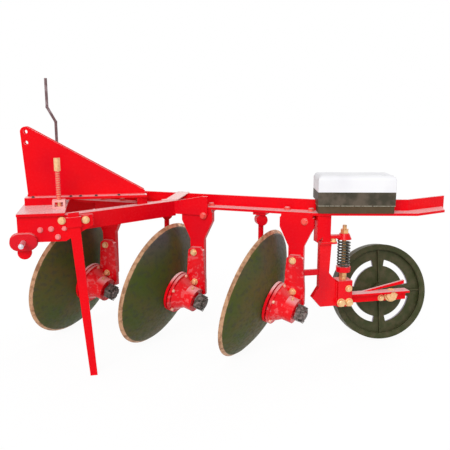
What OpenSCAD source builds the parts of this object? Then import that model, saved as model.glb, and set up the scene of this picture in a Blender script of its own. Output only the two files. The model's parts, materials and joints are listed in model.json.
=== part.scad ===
// Three-furrow mounted disc plough, parked on its discs, furrow wheel and stand.
// +X points to the rear, +Y to the right-hand side, +Z up. Millimetres.

/* [Discs] */
// Diameter of each disc blade
disc_d = 660; // [600:5:700]
// Radius of the sphere that the blade is pressed from
disc_sphere_r = 595; // [540:5:680]
// Thickness of the blade
disc_t = 6; // [5:0.5:8]
// Radius of the flat centre of the blade
disc_flat_r = 82; // [76:1:95]
// Width of the ground bevel along the cutting edge
disc_bevel = 20; // [14:1:26]
// Thickness left at the cutting edge
disc_edge_t = 2.4; // [1.6:0.2:3.2]
// Turn of the disc axis away from straight back
disc_yaw = 40.5; // [36:0.5:44]
// Lean of the disc axis below level
disc_tilt = 14.4; // [12:0.2:17]
// Distance between discs along the plough
disc_pitch_x = 433; // [420:1:445]
// Distance between discs across the plough
disc_pitch_y = 265; // [255:1:275]
// Place of the middle disc along the plough
disc_mid_x = -360; // [-368:1:-352]

/* [Disc hubs] */
// Radius of the hub flange behind the blade
hub_flange_r = 104; // [98:1:110]
// Thickness of the hub flange
hub_flange_t = 13; // [10:1:16]
// Radius of the spindle
spindle_r = 24; // [20:1:28]
// Running clearance of the spindle in its housing
spindle_gap = 0.3; // [0.2:0.05:0.5]
// Gap between hub flange and housing
hub_gap = 6; // [5:0.5:8]
// Radius of the housing flange
housing_flange_r = 103; // [97:1:109]
// Thickness of the housing flange
housing_flange_t = 14; // [12:1:18]
// Radius of the housing barrel
housing_r = 60; // [54:1:66]
// Length of the housing behind its flange
housing_l = 96; // [88:1:104]
// Length of the cone behind the housing flange
housing_cone_l = 46; // [38:1:54]
// Step from the flange to the cone
housing_step = 14; // [10:1:18]
// Radius of the castle nut across its corners
castle_nut_r = 44; // [40:1:48]
// Height of the castle nut
castle_nut_h = 38; // [34:1:42]
// Number of slots in the castle nut
castle_slots = 6; // [6:1:8]
// Width of a slot in the castle nut
castle_slot_w = 10; // [8:1:12]
// Length of the spindle's end past the castle nut
spindle_over = 8; // [6:1:12]
// Step from the spindle to its end
spindle_step = 4; // [3:0.5:6]

/* [Standards] */
// Gap between the top of a disc and its standard, along the beam
standard_gap = 25; // [20:1:32]
// Distance of the standard's near face from the disc centre across the beam
standard_y = 39; // [36:1:46]
// Thickness of the standard's plate
standard_t = 30; // [24:1:36]
// Width of the standard at the beam
standard_top_w = 164; // [150:2:176]
// Width of the standard's stem
standard_stem_w = 74; // [66:2:84]
// Drop from the beam to the top of the funnel
funnel_drop = 60; // [45:5:75]
// Height of the funnel
funnel_h = 95; // [80:5:110]
// Height of the stem's lower end above the disc's centre
standard_above = 32; // [26:1:40]
// Thickness of the flange under the beam
standard_flange_t = 14; // [10:1:18]
// Width of the flange across the beam
standard_flange_w = 70; // [60:1:72]
// Inset of the flange from the edges of the plate
standard_flange_inset = 6; // [4:1:8]
// Clearance that the right side plate leaves around the front standard
standard_clear = 2; // [1:0.5:2.5]
// Thickness of the bracket bolted to the stem
bracket_t = 24; // [20:1:26]
// Width of the bracket at its top
bracket_top_w = 80; // [74:2:88]
// Width of the bracket above the housing
bracket_low_w = 100; // [92:2:104]
// Height of the bracket's top above the disc's centre
bracket_above = 204; // [196:2:212]
// Depth of the bracket below the disc's centre
bracket_below = 38; // [32:1:44]
// Cut corners at the bracket's top
bracket_corner = 16; // [12:1:20]

/* [Scrapers] */
// Angle of the scraper from the top of the disc
scraper_angle = 22; // [18:1:26]
// Gap between scraper blade and bowl
scraper_gap = 11; // [9:0.5:14]
// Thickness of the scraper blade
scraper_t = 6; // [5:0.5:8]
// Width of the scraper blade
scraper_w = 130; // [110:5:150]
// Inner radius that the blade reaches
scraper_r_in = 130; // [120:5:140]
// Outer radius that the blade reaches
scraper_r_out = 265; // [255:5:275]
// Radius of the scraper's bar
scraper_bar_r = 13; // [11:0.5:15]
// Radius of the knuckle where the bar turns into the bowl
scraper_knuckle_r = 17; // [15:0.5:20]
// Offset of the bar outwards from the middle of the blade
scraper_offset = 18; // [12:1:24]
// Distance of the bar in front of the rim
scraper_ahead = 62; // [56:1:70]
// Side of the square pad under the beam
scraper_pad = 64; // [58:2:70]
// Thickness of the pad
scraper_pad_t = 14; // [10:1:18]
// Radius of the clamp that holds the bar under its pad
scraper_clamp_r = 28; // [24:1:32]
// Length of that clamp
scraper_clamp_l = 44; // [38:1:50]

/* [Main beam] */
// Width of the beam's level leg
beam_leg_w = 90; // [84:1:96]
// Height of the beam's upright leg
beam_h = 65; // [58:1:72]
// Thickness of both legs
beam_t = 12; // [10:1:14]
// Gap between the tops of the discs and the beam
beam_clear = 77; // [70:1:84]
// Place where the beam bends towards straight back
beam_bend_x = 325; // [319:1:331]
// Angle of the rear run from straight back
beam_rear_angle = 13; // [11:0.5:15]
// Length of the rear run
beam_rear_l = 480; // [470:1:490]
// Angle of the end tab from straight back, towards the right
beam_tab_angle = 20; // [17:1:23]
// Length of the end tab
beam_tab_l = 194; // [184:1:204]
// Length of the upright leg beyond the end tab
beam_tab_over = 90; // [80:1:100]

/* [Headstock] */
// Distance of the front edge of the side plates ahead of the origin
head_front_x = -1002; // [-1006:1:-998]
// Length of the top plate
head_l = 201; // [190:1:212]
// Length of the left side plate
left_plate_l = 319; // [310:1:328]
// Length of the right side plate behind the beam's end
right_plate_over = 20; // [14:1:28]
// Thickness of the side plates
side_plate_t = 12; // [10:1:14]
// Height of the side plates
side_plate_h = 116; // [108:1:124]
// Height of the rear end of the side plates
side_plate_tail_h = 48; // [40:1:56]
// Thickness of the top plate
top_plate_t = 12; // [10:1:14]
// Overhang of the top plate beyond the side plates
top_plate_lip = 17; // [12:1:20]
// Height of the top plate's upper face above the beam's underside
head_rise = 47; // [42:1:52]
// Width of the front channel's web
channel_h = 60; // [52:2:68]
// Depth of the front channel
channel_w = 62; // [54:2:70]
// Thickness of the front channel
channel_t = 9; // [7:1:11]
// Inset of the channel from the front edge
channel_inset = 4; // [2:1:8]
// Width of the brace's level leg
brace_leg_w = 56; // [50:1:62]
// Height of the brace's upright leg
brace_h = 75; // [70:1:80]
// Thickness of the brace
brace_t = 11; // [9:1:13]
// Length of the brace along the left side plate
brace_lap = 85; // [76:1:94]
// Place of the brace's rear end, as distance in front of the middle standard
brace_end = 76; // [66:1:90]
// Thickness of the joint plate where brace and beam meet
joint_t = 10; // [8:1:12]
// Length of the joint plate in front of the middle standard
joint_front = 118; // [112:1:124]
// Length of the joint plate behind the middle standard
joint_rear = 60; // [52:1:68]
// Length of the joint plate's level top edge
joint_top_l = 26; // [20:1:32]
// Lap of the joint plate over the standard's flange
joint_lap = 30; // [24:1:36]
// Distance of the cross tie behind the front edge
tie_back = 529; // [519:1:539]
// Width of the cross tie
tie_w = 50; // [44:1:56]
// Distance of the cross tie's end from the brace's near face
tie_inset = 30; // [24:1:36]

/* [Hitch] */
// Depth of the lower hitch pins below the top plate
lower_pin_drop = 122; // [118:1:126]
// Distance of the lower hitch pins behind the front edge
lower_pin_back = 24; // [20:1:28]
// Radius of the lower hitch pins
lower_pin_r = 11; // [10.8:0.1:14]
// Length of a lower hitch pin from its shoulder
lower_pin_l = 84; // [75:1:100]
// Distance between the shoulders of the lower pins
lower_span = 683; // [675:1:700]
// End radius of the oval collar behind each lower pin
pin_collar_r = 37; // [34:1:40]
// Thickness of the oval collar
pin_collar_t = 23.5; // [20:0.5:27]
// Distance between the oval collar's end centres
pin_collar_l = 40; // [34:1:44]
// Radius of the lug round each lower pin
pin_lug_r = 46; // [42:1:50]
// Radius of the boss below the lug
pin_boss_r = 30; // [26:1:34]
// Drop of the boss below the pin
pin_lug_drop = 50; // [44:1:56]
// Height of the upper hitch point above the lower ones
mast_height = 460; // [456:1:464]
// Radius of the upper hitch hole
mast_hole_r = 9.7; // [9.6:0.1:12]
// Distance between the two upper hitch holes
mast_hole_step = 50; // [46:1:56]
// Distance of the upper hitch hole behind the front edge
mast_eye_back = 26; // [22:1:30]
// Radius of the mast's rounded top
mast_eye_r = 24; // [22:1:27]
// Gap between the mast plates
mast_gap = 56; // [52:1:60]
// Thickness of a mast plate
mast_t = 12; // [10:1:14]
// Distance of the mast's foot behind the front edge
mast_back = 21; // [16:1:26]
// Length of the mast's foot
mast_foot_l = 549; // [540:1:560]
// Height of the mast's blunt rear end
mast_tip_h = 16; // [12:1:20]
// Length of the foot bar in front of the mast plate
mast_foot_over = 12; // [8:1:16]
// Length of the foot bar behind the mast plate
mast_tail_over = 6; // [4:1:10]
// Width of the mast's foot bar
mast_foot_w = 66; // [60:1:70]
// Thickness of the foot bar
mast_foot_t = 12; // [10:1:14]
// Height of the packer under the front of the foot bar
mast_packer_h = 23; // [20:1:26]
// Length of the packer
mast_packer_l = 150; // [130:5:165]
// Distance of the spacer tube from the mast's rear end
mast_spacer_back = 110; // [100:1:120]
// Height of the spacer tube above the foot bar
mast_spacer_rise = 20; // [16:1:24]
// Radius of the spacer tube between the mast plates
mast_spacer_r = 21; // [18:1:24]

/* [Levelling] */
// Distance of the levelling screw to the left of the middle
screw_y = 200; // [190:1:210]
// Distance of the levelling screw from the top plate's rear edge
screw_inset = 30; // [28:1:36]
// Radius of the levelling screw
screw_r = 9; // [8:0.5:11]
// Height of the screw's cap
screw_cap_h = 57; // [50:1:62]
// Radius of the screw's cap
screw_cap_r = 14; // [12:0.5:16]
// Height of the screw above the top plate
screw_h = 227; // [215:1:240]
// Length of the levelling bracket
screw_seat_l = 56; // [50:1:62]
// Width of the levelling bracket
screw_seat_w = 44; // [38:1:50]
// Height of the levelling bracket
screw_seat_h = 40; // [34:1:46]
// Thickness of the levelling bracket's walls
screw_seat_t = 10; // [8:1:12]
// Distance of the crank rod to the right of the middle
crank_y = 124; // [118:1:132]
// Distance of the crank rod from the top plate's rear edge
crank_inset = 48; // [40:1:60]
// Radius of the crank rod
crank_r = 7; // [6:0.5:8]
// Length of the crank's base
crank_seat_l = 60; // [54:1:66]
// Width of the crank's base
crank_seat_w = 48; // [42:1:54]
// Thickness of the crank's base
crank_seat_t = 10; // [8:1:12]
// Radius of the crank's guide tube
crank_tube_r = 17; // [15:0.5:20]
// Height of the crank's guide tube
crank_tube_h = 52; // [46:1:58]
// Height of the crank above the top plate
crank_h = 590; // [575:5:600]
// Sideways throw of the crank
crank_throw = 37; // [32:1:44]
// Height of the throw above the top plate
crank_throw_low = 381; // [370:1:392]
// Height that the throw climbs
crank_throw_rise = 71; // [60:1:80]

/* [Stand] */
// Width of the stand leg at its top
stand_top_w = 47; // [42:1:50]
// Width of the stand leg at its foot
stand_foot_w = 31; // [28:1:36]
// Thickness of the stand leg
stand_t = 16; // [12:1:18]
// Height of the stand leg's top above the top plate
stand_above = 2; // [0:0.5:6]
// Lean of the stand leg
stand_lean = 4.3; // [3:0.1:5]
// Distance of the stand's foot behind the front edge
stand_back = 294; // [289:1:299]
// Clearance round the stand leg
stand_gap = 0.3; // [0.2:0.05:0.5]
// Depth of the strap's lower edge below the top plate
strap_drop = 50; // [46:1:56]
// Height of the strap round the stand leg
strap_h = 44; // [38:1:50]
// Thickness of the strap
strap_t = 7; // [5:0.5:9]
// Length of each ear of the strap
strap_ear = 34; // [30:1:38]

/* [Furrow wheel] */
// Diameter of the furrow wheel
wheel_d = 500; // [480:5:520]
// Width of the wheel's rim
wheel_w = 66; // [58:2:74]
// Thickness of the rim
rim_t = 26; // [20:1:30]
// Lap of the web into rim and hub
web_lap = 6; // [4:1:8]
// Thickness of the wheel's web
web_t = 14; // [12:1:18]
// Radius of the wheel's hub
wheel_hub_r = 46; // [42:1:52]
// Length of the wheel's hub
wheel_hub_l = 96; // [90:2:104]
// Inner radius of the windows
window_r_in = 136; // [130:1:142]
// Outer radius of the windows
window_r_out = 168; // [162:1:174]
// Angle that each window spans
window_span = 66; // [60:1:72]
// Lean of the wheel, its top away from the viewer
wheel_lean = 10; // [7:0.5:12]
// Toe of the wheel
wheel_toe = 4; // [2:0.5:6]
// Place of the wheel along the plough
wheel_x = 783; // [776:1:790]
// Place of the wheel across the plough
wheel_y = -150; // [-157:1:-143]
// Thickness of the axle's head
axle_head_t = 12; // [10:1:15]
// Radius of the axle's head
axle_head_r = 30; // [26:1:34]
// Gap between wheel hub and axle head
axle_side_gap = 4; // [3:0.5:6]
// Length of the axle past the arm's face
axle_over = 24; // [20:1:30]
// Radius of the wheel's axle
axle_r = 20; // [17:0.5:22]
// Running clearance of the wheel on its axle
axle_gap = 0.3; // [0.2:0.05:0.5]

/* [Wheel carrier] */
// Place of the carrier's middle plane across the plough
carrier_y = -345; // [-350:1:-340]
// Start of the hanger along the plough
hanger_x = 373; // [368:1:378]
// Length of the hanger along the plough
hanger_l = 40; // [36:1:44]
// Width of the hanger across the plough
hanger_w = 50; // [44:1:52]
// Height of the hanger under the beam
hanger_h = 130; // [122:1:138]
// Reach of the hanger's gusset towards the rear standard
gusset_l = 27; // [23:1:29]
// Height of the gusset's cut corner
gusset_corner = 25; // [20:1:30]
// Thickness of the carrier's flange
carrier_flange_t = 10; // [8:1:12]
// Length of the carrier's flange
carrier_flange_l = 82; // [76:1:88]
// Width of the carrier's flange
carrier_flange_w = 64; // [58:1:70]
// Length of the flange in front of the carrier's bar
carrier_flange_over = 4; // [2:1:8]
// Length of the carrier's bar in front of the hanger
carrier_bar_over = 8; // [6:1:12]
// Cut corner at the carrier's lower front end
carrier_corner_l = 10; // [6:1:16]
// Height of that cut corner
carrier_corner_h = 48; // [42:1:54]
// Reach of the toe in front of the carrier's bar
carrier_toe = 32; // [28:1:34]
// Height of the toe's upper slope
carrier_toe_h = 50; // [44:1:56]
// Height of the link to the rear standard above the ground
carrier_link_z = 420; // [412:1:428]
// Height of the link itself
carrier_link_h = 28; // [24:1:32]
// Thickness of the link
carrier_link_t = 14; // [12:1:18]
// Width of the carrier's bar
carrier_bar_w = 58; // [52:1:62]
// Thickness of the carrier's bar
carrier_bar_t = 32; // [28:1:36]
// Height of the underside of the housing
carrier_low = 262; // [256:1:268]
// Place of the sprung strut along the plough
strut_x = 493; // [487:1:499]
// Length of the strut's housing along the plough
strut_housing_l = 72; // [66:1:78]
// Height of the top of the strut's housing
strut_housing_top = 390; // [384:1:396]
// Radius of the strut's rod
strut_rod_r = 10; // [8:0.5:12]
// Height of each jam nut
jam_nut_h = 20; // [17:1:21]
// Radius of the strut's collars
collar_r = 35; // [33:1:38]
// Height of the lower collar
collar_h = 26; // [22:1:30]
// Height of the spring's upper guide above the carrier's flange
guide_above = 16; // [12:1:20]
// Height of the upper guide
guide_h = 28; // [24:1:32]
// Radius of the upper guide's top
guide_top_r = 23; // [20:1:26]
// Width of the guide's link to the hanger
guide_link_w = 28; // [22:1:32]
// Thickness of the guide's link
guide_link_t = 16; // [12:1:20]
// Length of the strut's rod above the guide
strut_rod_over = 40; // [34:1:46]
// Thickness of the washer above the jam nuts
strut_washer_t = 2; // [1.5:0.5:3]
// Outer radius of the spring
spring_r = 32; // [29:1:33]
// Radius of the spring's wire
spring_wire_r = 4; // [3:0.25:4.5]
// Turns of the spring
spring_turns = 9; // [8:0.5:10]
// Thickness of the arm that carries the wheel
arm_t = 14; // [12:1:16]
// Height of the arm
arm_h = 55; // [50:1:60]
// Gap between housing and arm plane
arm_gap = 2; // [1:0.5:4]
// Thickness of the arm's level leg
arm_leg_t = 10; // [8:1:12]
// Width of the arm's level leg
arm_leg_w = 40; // [34:1:46]
// Length of the arm behind the axle
arm_tail = 84; // [76:1:92]
// Distance of the prong's root in front of the axle
prong_front = 150; // [140:1:160]
// Length of the prong's root
prong_root = 40; // [34:1:46]
// Width of the prong's tip
prong_tip = 18; // [14:1:22]
// Distance of the prong's tip from the arm's end
prong_inset = 12; // [8:1:16]
// Rise of the arm's upper prong
prong_rise = 45; // [40:1:50]

/* [Ballast box] */
// Length of the ballast box along the beam
ballast_l = 358; // [345:1:370]
// Depth of the ballast box across the beam
ballast_w = 175; // [165:1:185]
// Overhang of the box beyond the beam's near edge
ballast_lip = 12; // [8:1:18]
// Step between the box and its narrower skirt
ballast_step = 4; // [3:0.5:6]
// Height of the skirt above the beam's level leg
skirt_h = 34; // [30:1:38]
// Height of the box above the beam
ballast_h = 46; // [42:1:52]
// Height of the lid
lid_h = 78; // [70:1:86]
// Radius of the lid's rounded edges
lid_r = 24; // [20:1:28]

/* [Hidden] */
$fn = 48;

paint_red = [0.86, 0.04, 0.07];
blade_steel = [0.27, 0.30, 0.20];
dark_steel = [0.14, 0.15, 0.12];
plated = [0.85, 0.72, 0.45];
bare_steel = [0.55, 0.52, 0.50];

// How far a cut runs past the face that it opens
past = 1;
// Gap round a piece that is fixed in its seat
seat_gap = 0.3;
// A bend's ball is this much larger than its rod
ball_over = 1;

// Disc geometry
disc_r = disc_d / 2;
sphere_drop = sqrt(disc_sphere_r ^ 2 - disc_r ^ 2);
function outer_l(r) = sqrt(disc_sphere_r ^ 2 - r ^ 2) - sphere_drop;
function inner_l(r) = sqrt((disc_sphere_r - disc_t) ^ 2 - r ^ 2) - sphere_drop;
flat_l = outer_l(disc_flat_r);
edge_l = inner_l(disc_r) + disc_edge_t;
disc_z = disc_r * cos(disc_tilt) + edge_l * sin(disc_tilt);
disc_top = disc_z + disc_r * cos(disc_tilt);
beam_angle = atan2(disc_pitch_y, disc_pitch_x);
// A length that passes every piece
cut_l = 4 * disc_d;
axis_back = [cos(disc_tilt) * cos(disc_yaw), -cos(disc_tilt) * sin(disc_yaw), -sin(disc_tilt)];
axis_up = [sin(disc_tilt) * cos(disc_yaw), -sin(disc_tilt) * sin(disc_yaw), cos(disc_tilt)];
axis_side = [sin(disc_yaw), cos(disc_yaw), 0];
function disc_centre(i) = [disc_mid_x + (i - 2) * disc_pitch_x, -(i - 2) * disc_pitch_y, disc_z];
function disc_point(i, r, angle, l) =
    disc_centre(i) + r * (cos(angle) * axis_up + sin(angle) * axis_side) + l * axis_back;

// Stations along a disc axis, from the rim plane backwards
hub_back = flat_l + hub_flange_t;
housing_front = hub_back + hub_gap;
housing_mid = housing_front + housing_flange_t;
housing_back = housing_mid + housing_l;
nut_front = housing_back + hub_gap;

// Beam lines in plan
beam_out = [cos(beam_angle), -sin(beam_angle)];
beam_far = [sin(beam_angle), cos(beam_angle)];
standard_x = disc_r * sin(disc_tilt) + standard_top_w / 2 + standard_gap;
function standard_foot(i) = [disc_centre(i).x, disc_centre(i).y] + standard_x * beam_out
    + standard_y * beam_far;
rear_out = [cos(beam_rear_angle), -sin(beam_rear_angle)];
tab_out = [cos(beam_tab_angle), sin(beam_tab_angle)];
beam_bend = standard_foot(3) + (beam_bend_x - standard_foot(3).x) / beam_out.x * beam_out;
beam_tab = beam_bend + beam_rear_l * rear_out;
beam_start = standard_foot(1) - lower_span * beam_out;
beam_path = [beam_start, beam_bend, beam_tab, beam_tab + beam_tab_l * tab_out];
upright_path = [beam_start, beam_bend, beam_tab, beam_tab + (beam_tab_l + beam_tab_over) * tab_out];
beam_low = disc_top + beam_clear;
beam_top = beam_low + beam_h;
beam_floor = beam_low + beam_t;

// Headstock lines
head_top = beam_low + head_rise;
shoulder_y = lower_span / 2;
side_outer_y = shoulder_y - pin_collar_t;
head_inside_y = side_outer_y - side_plate_t;
top_plate_low = head_top - top_plate_t;
side_plate_low = top_plate_low - side_plate_h;
lower_pin_x = head_front_x + lower_pin_back;
lower_pin_z = head_top - lower_pin_drop;
beam_far_edge = standard_foot(1) + beam_leg_w * beam_far;
right_plate_rear = beam_far_edge.x + (head_inside_y - beam_far_edge.y) / beam_out.y * beam_out.x
    + right_plate_over;
right_plate_l = right_plate_rear - head_front_x;
mast_inner_y = mast_gap / 2;
mast_outer_y = mast_inner_y + mast_t;
foot_low = head_top + mast_packer_h;
foot_top = foot_low + mast_foot_t;
mast_front_x = head_front_x + mast_back;
mast_eye = [head_front_x + mast_eye_back, lower_pin_z + mast_height];
brace_top = top_plate_low;
brace_low = brace_top - brace_h;
brace_front = [head_front_x + left_plate_l - brace_lap, -head_inside_y];
brace_rear = standard_foot(2) - brace_end * beam_out + (beam_leg_w - beam_t) * beam_far;
screw_x = head_front_x + head_l - screw_inset;
crank_x = head_front_x + head_l - crank_inset;
tie_x = head_front_x + tie_back;

// Stand lines
stand_axis = [-sin(stand_lean), 0, cos(stand_lean)];
stand_inner_y = -side_outer_y - stand_gap;
stand_foot_x = head_front_x + stand_back;
stand_h = head_top + stand_above;
strap_z = top_plate_low - strap_drop;

// Wheel geometry
wheel_r = wheel_d / 2;
wheel_z = wheel_r * cos(wheel_lean) + wheel_w / 2 * sin(wheel_lean);
wheel_axis = [-sin(wheel_toe) * cos(wheel_lean), -cos(wheel_toe) * cos(wheel_lean), sin(wheel_lean)];
arm_face_y = carrier_y + strut_housing_l / 2 + arm_gap;
arm_reach = (wheel_y - arm_face_y) / -wheel_axis.y;
arm_eye = [wheel_x, wheel_y, wheel_z] + arm_reach * wheel_axis;

// The ballast box starts where the bend ends
ballast_start = beam_leg_w * tan((beam_angle - beam_rear_angle) / 2) + seat_gap;
ballast_low = beam_floor + skirt_h;

// Strut stations
strut_housing_x = strut_x - strut_housing_l / 2;
collar_z = strut_housing_top + 2 * jam_nut_h;
spring_low = collar_z + collar_h;
carrier_flange_z = beam_low - hanger_h - carrier_flange_t;
guide_z = carrier_flange_z + guide_above;
spring_h = guide_z - spring_low;

// Plan vectors and outlines that follow a path
function unit(v) = v / norm(v);
function path_normal(p, k) = let (h = unit(p[k + 1] - p[k])) [-h.y, h.x];
function mitre(a, b) = (a + b) / (1 + a * b);
function corner_normal(p, k) =
    k == 0 ? path_normal(p, 0)
    : k == len(p) - 1 ? path_normal(p, k - 1)
    : mitre(path_normal(p, k - 1), path_normal(p, k));
function shifted(p, d) = [for (k = [0:len(p) - 1]) p[k] + d * corner_normal(p, k)];
function reversed(p) = [for (k = [len(p) - 1:-1:0]) p[k]];
function strip(p, d0, d1) = concat(shifted(p, d0), reversed(shifted(p, d1)));
function tangent_point(p, c, r, side) =
    let (d = c - p, a = atan2(d.y, d.x) + side * asin(r / norm(d)), l = sqrt(d * d - r * r))
    p + l * [cos(a), sin(a)];

// Placement helpers
module on_disc(i) translate(disc_centre(i)) rotate([0, 90 + disc_tilt, -disc_yaw]) children();
module on_standard(i)
    translate([standard_foot(i).x, standard_foot(i).y, 0]) rotate([0, 0, -beam_angle]) children();
module on_rear_beam() translate([beam_bend.x, beam_bend.y, 0]) rotate([0, 0, -beam_rear_angle]) children();
module on_wheel() translate([wheel_x, wheel_y, wheel_z]) rotate([0, 90 - wheel_lean, -90 - wheel_toe])
    children();
// Stands an XZ outline up, from y to y + t
module upright(y, t) translate([0, y + t, 0]) rotate([90, 0, 0]) linear_extrude(t) children();
module rod(p, q, r) {
    d = q - p;
    translate(p) rotate([0, acos(d.z / norm(d)), atan2(d.y, d.x)]) cylinder(h = norm(d), r = r);
}

// Mast
module mast_outline() {
    front_foot = [mast_front_x, foot_top];
    rear_foot = [mast_front_x + mast_foot_l, foot_top];
    rear_tip = rear_foot + [0, mast_tip_h];
    polygon([front_foot, rear_foot, rear_tip, tangent_point(rear_tip, mast_eye, mast_eye_r, -1),
        mast_eye, tangent_point(front_foot, mast_eye, mast_eye_r, 1)]);
    translate(mast_eye) circle(mast_eye_r);
}
module mast_plate(y) color(paint_red) difference() {
    upright(y, mast_t) mast_outline();
    for (k = [0, 1]) translate([mast_eye.x, y + mast_t + past, mast_eye.y - k * mast_hole_step])
        rotate([90, 0, 0]) cylinder(h = mast_t + 2 * past, r = mast_hole_r);
}
module mast_foot(y) color(paint_red) {
    translate([mast_front_x - mast_foot_over, y, foot_low])
        cube([mast_foot_over + mast_foot_l + mast_tail_over, mast_foot_w, mast_foot_t]);
    translate([mast_front_x - mast_foot_over, y, head_top]) cube([mast_packer_l, mast_foot_w,
        mast_packer_h]);
}
module mast_spacer() color(paint_red)
    translate([mast_front_x + mast_foot_l - mast_spacer_back, mast_inner_y, foot_top + mast_spacer_r
        + mast_spacer_rise])
        rotate([90, 0, 0]) cylinder(h = mast_gap, r = mast_spacer_r);

// Headstock
module side_plate(y, l) color(paint_red) {
    rear = head_front_x + l;
    upright(y, side_plate_t)
        polygon([[head_front_x, lower_pin_z], [head_front_x, top_plate_low], [rear, top_plate_low],
            [rear, top_plate_low - side_plate_tail_h], [head_front_x + head_l, side_plate_low],
            [lower_pin_x, side_plate_low]]);
    upright(y, side_plate_t) translate([lower_pin_x, lower_pin_z]) circle(pin_lug_r);
    upright(y, side_plate_t) translate([lower_pin_x, lower_pin_z - pin_lug_drop]) circle(pin_boss_r);
}
// The right plate leaves room for the front standard where a short plough brings them together
module right_plate() color(paint_red) difference() {
    side_plate(head_inside_y, right_plate_l);
    on_standard(1) translate([-standard_top_w / 2 - standard_clear, -standard_clear, 0])
        cube([standard_top_w + 2 * standard_clear, standard_flange_w + 2 * standard_clear, beam_low]);
}
module headstock_top_plate() color(paint_red)
    translate([head_front_x, -side_outer_y - top_plate_lip, top_plate_low])
        cube([head_l, 2 * (side_outer_y + top_plate_lip), top_plate_t]);
module front_channel() color(paint_red)
    translate([head_front_x + channel_inset, -head_inside_y, top_plate_low - channel_h]) difference() {
        cube([channel_w, 2 * head_inside_y, channel_h]);
        translate([channel_t, -past, channel_t])
            cube([channel_w, 2 * head_inside_y + 2 * past, channel_h - 2 * channel_t]);
    }
module at_pin(side, y) translate([lower_pin_x, side * y, lower_pin_z]) rotate([-side * 90, 0, 0])
    children();
module hitch_collar(side) color(paint_red) at_pin(side, side_outer_y) {
    for (x = [-1, 1]) translate([x * pin_collar_l / 2, 0, 0]) cylinder(h = pin_collar_t, r = pin_collar_r);
    translate([-pin_collar_l / 2, -pin_collar_r, 0]) cube([pin_collar_l, 2 * pin_collar_r, pin_collar_t]);
}
module hitch_pin(side) color(plated) at_pin(side, shoulder_y) {
    cylinder(h = lower_pin_l - lower_pin_r / 2, r = lower_pin_r);
    translate([0, 0, lower_pin_l - lower_pin_r / 2])
        cylinder(h = lower_pin_r / 2, r1 = lower_pin_r, r2 = lower_pin_r / 2);
}

// Levelling screw and crank
module levelling_bracket() color(paint_red) translate([screw_x, -screw_y, head_top]) difference() {
    translate([-screw_seat_l / 2, -screw_seat_w / 2, 0]) cube([screw_seat_l, screw_seat_w, screw_seat_h]);
    translate([screw_seat_t - screw_seat_l / 2, -screw_seat_w / 2 - past, screw_seat_t])
        cube([screw_seat_l - 2 * screw_seat_t, screw_seat_w + 2 * past, screw_seat_h - 2 * screw_seat_t]);
    cylinder(h = screw_h, r = screw_r + seat_gap);
}
module levelling_screw() color(plated) translate([screw_x, -screw_y, head_top]) {
    cylinder(h = screw_h, r = screw_r);
    translate([0, 0, screw_h - screw_cap_h]) cylinder(h = screw_cap_h, r = screw_cap_r);
}
module crank_block() color(paint_red) translate([crank_x, crank_y, head_top]) difference() {
    union() {
        translate([-crank_seat_l / 2, -crank_seat_w / 2, 0]) cube([crank_seat_l, crank_seat_w,
            crank_seat_t]);
        cylinder(h = crank_tube_h, r = crank_tube_r);
    }
    translate([0, 0, -past]) cylinder(h = crank_h, r = crank_r + seat_gap);
}
module crank_rod() color(bare_steel) {
    low = [crank_x, crank_y, head_top];
    bend = low + [0, 0, crank_throw_low];
    high = bend + [-crank_throw, 0, crank_throw_rise];
    rod(low, bend, crank_r);
    rod(bend, high, crank_r);
    rod(high, [high.x, high.y, head_top + crank_h], crank_r);
    for (p = [bend, high]) translate(p) sphere(crank_r + ball_over);
}

// Stand
module on_stand() translate([stand_foot_x, stand_inner_y, 0]) rotate([0, -stand_lean, 0]) children();
module stand_leg() color(paint_red) difference() {
    on_stand() upright(-stand_t, stand_t)
        polygon([[-stand_foot_w / 2, -stand_foot_w], [stand_foot_w / 2, -stand_foot_w],
            [stand_top_w / 2, stand_h], [-stand_top_w / 2, stand_h]]);
    // Level cut at the ground
    translate([stand_foot_x - cut_l / 2, stand_inner_y - cut_l / 2, -cut_l]) cube(cut_l);
}
module stand_clamp() color(paint_red) {
    inner = stand_top_w / 2 + stand_gap;
    depth = stand_t + 2 * stand_gap;
    translate([stand_foot_x, -side_outer_y, 0]) rotate([0, -stand_lean, 0]) translate([0, 0, strap_z])
        for (side = [0, 1]) mirror([side, 0, 0]) {
            translate([inner, -strap_t, 0]) cube([strap_t + strap_ear, strap_t, strap_h]);
            translate([inner, -depth - strap_t, 0]) cube([strap_t, depth + strap_t, strap_h]);
            translate([0, -depth - strap_t, 0]) cube([inner, strap_t, strap_h]);
        }
}

// Beams
module main_beam() color(paint_red) difference() {
    translate([0, 0, beam_low]) {
        linear_extrude(beam_t)
            polygon(concat(shifted(beam_path, 0), reversed(shifted(upright_path, beam_leg_w))));
        linear_extrude(beam_h) polygon(strip(upright_path, beam_leg_w - beam_t, beam_leg_w));
    }
    translate([head_front_x - cut_l / 2, head_inside_y, 0]) cube(cut_l);
}
brace_way = unit(brace_rear - brace_front);
brace_line = [brace_front - left_plate_l * brace_way, brace_rear + 2 * beam_leg_w * brace_way];
module brace_solid() {
    translate([0, 0, brace_low]) linear_extrude(brace_h) polygon(strip(brace_line, 0, brace_t));
    translate([0, 0, brace_top - brace_t]) linear_extrude(brace_t) polygon(strip(brace_line, 0,
        brace_leg_w));
}
module side_brace() color(paint_red) difference() {
    brace_solid();
    translate([0, 0, beam_low]) {
        linear_extrude(beam_t) polygon(strip(beam_path, 0, disc_d));
        linear_extrude(beam_h + past) polygon(strip(beam_path, beam_leg_w - beam_t, disc_d));
        translate([0, 0, -brace_h]) linear_extrude(brace_h + past) polygon(strip(beam_path, 0, disc_d));
    }
    translate([head_front_x - cut_l / 2, -head_inside_y - cut_l, 0]) cube(cut_l);
}
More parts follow.
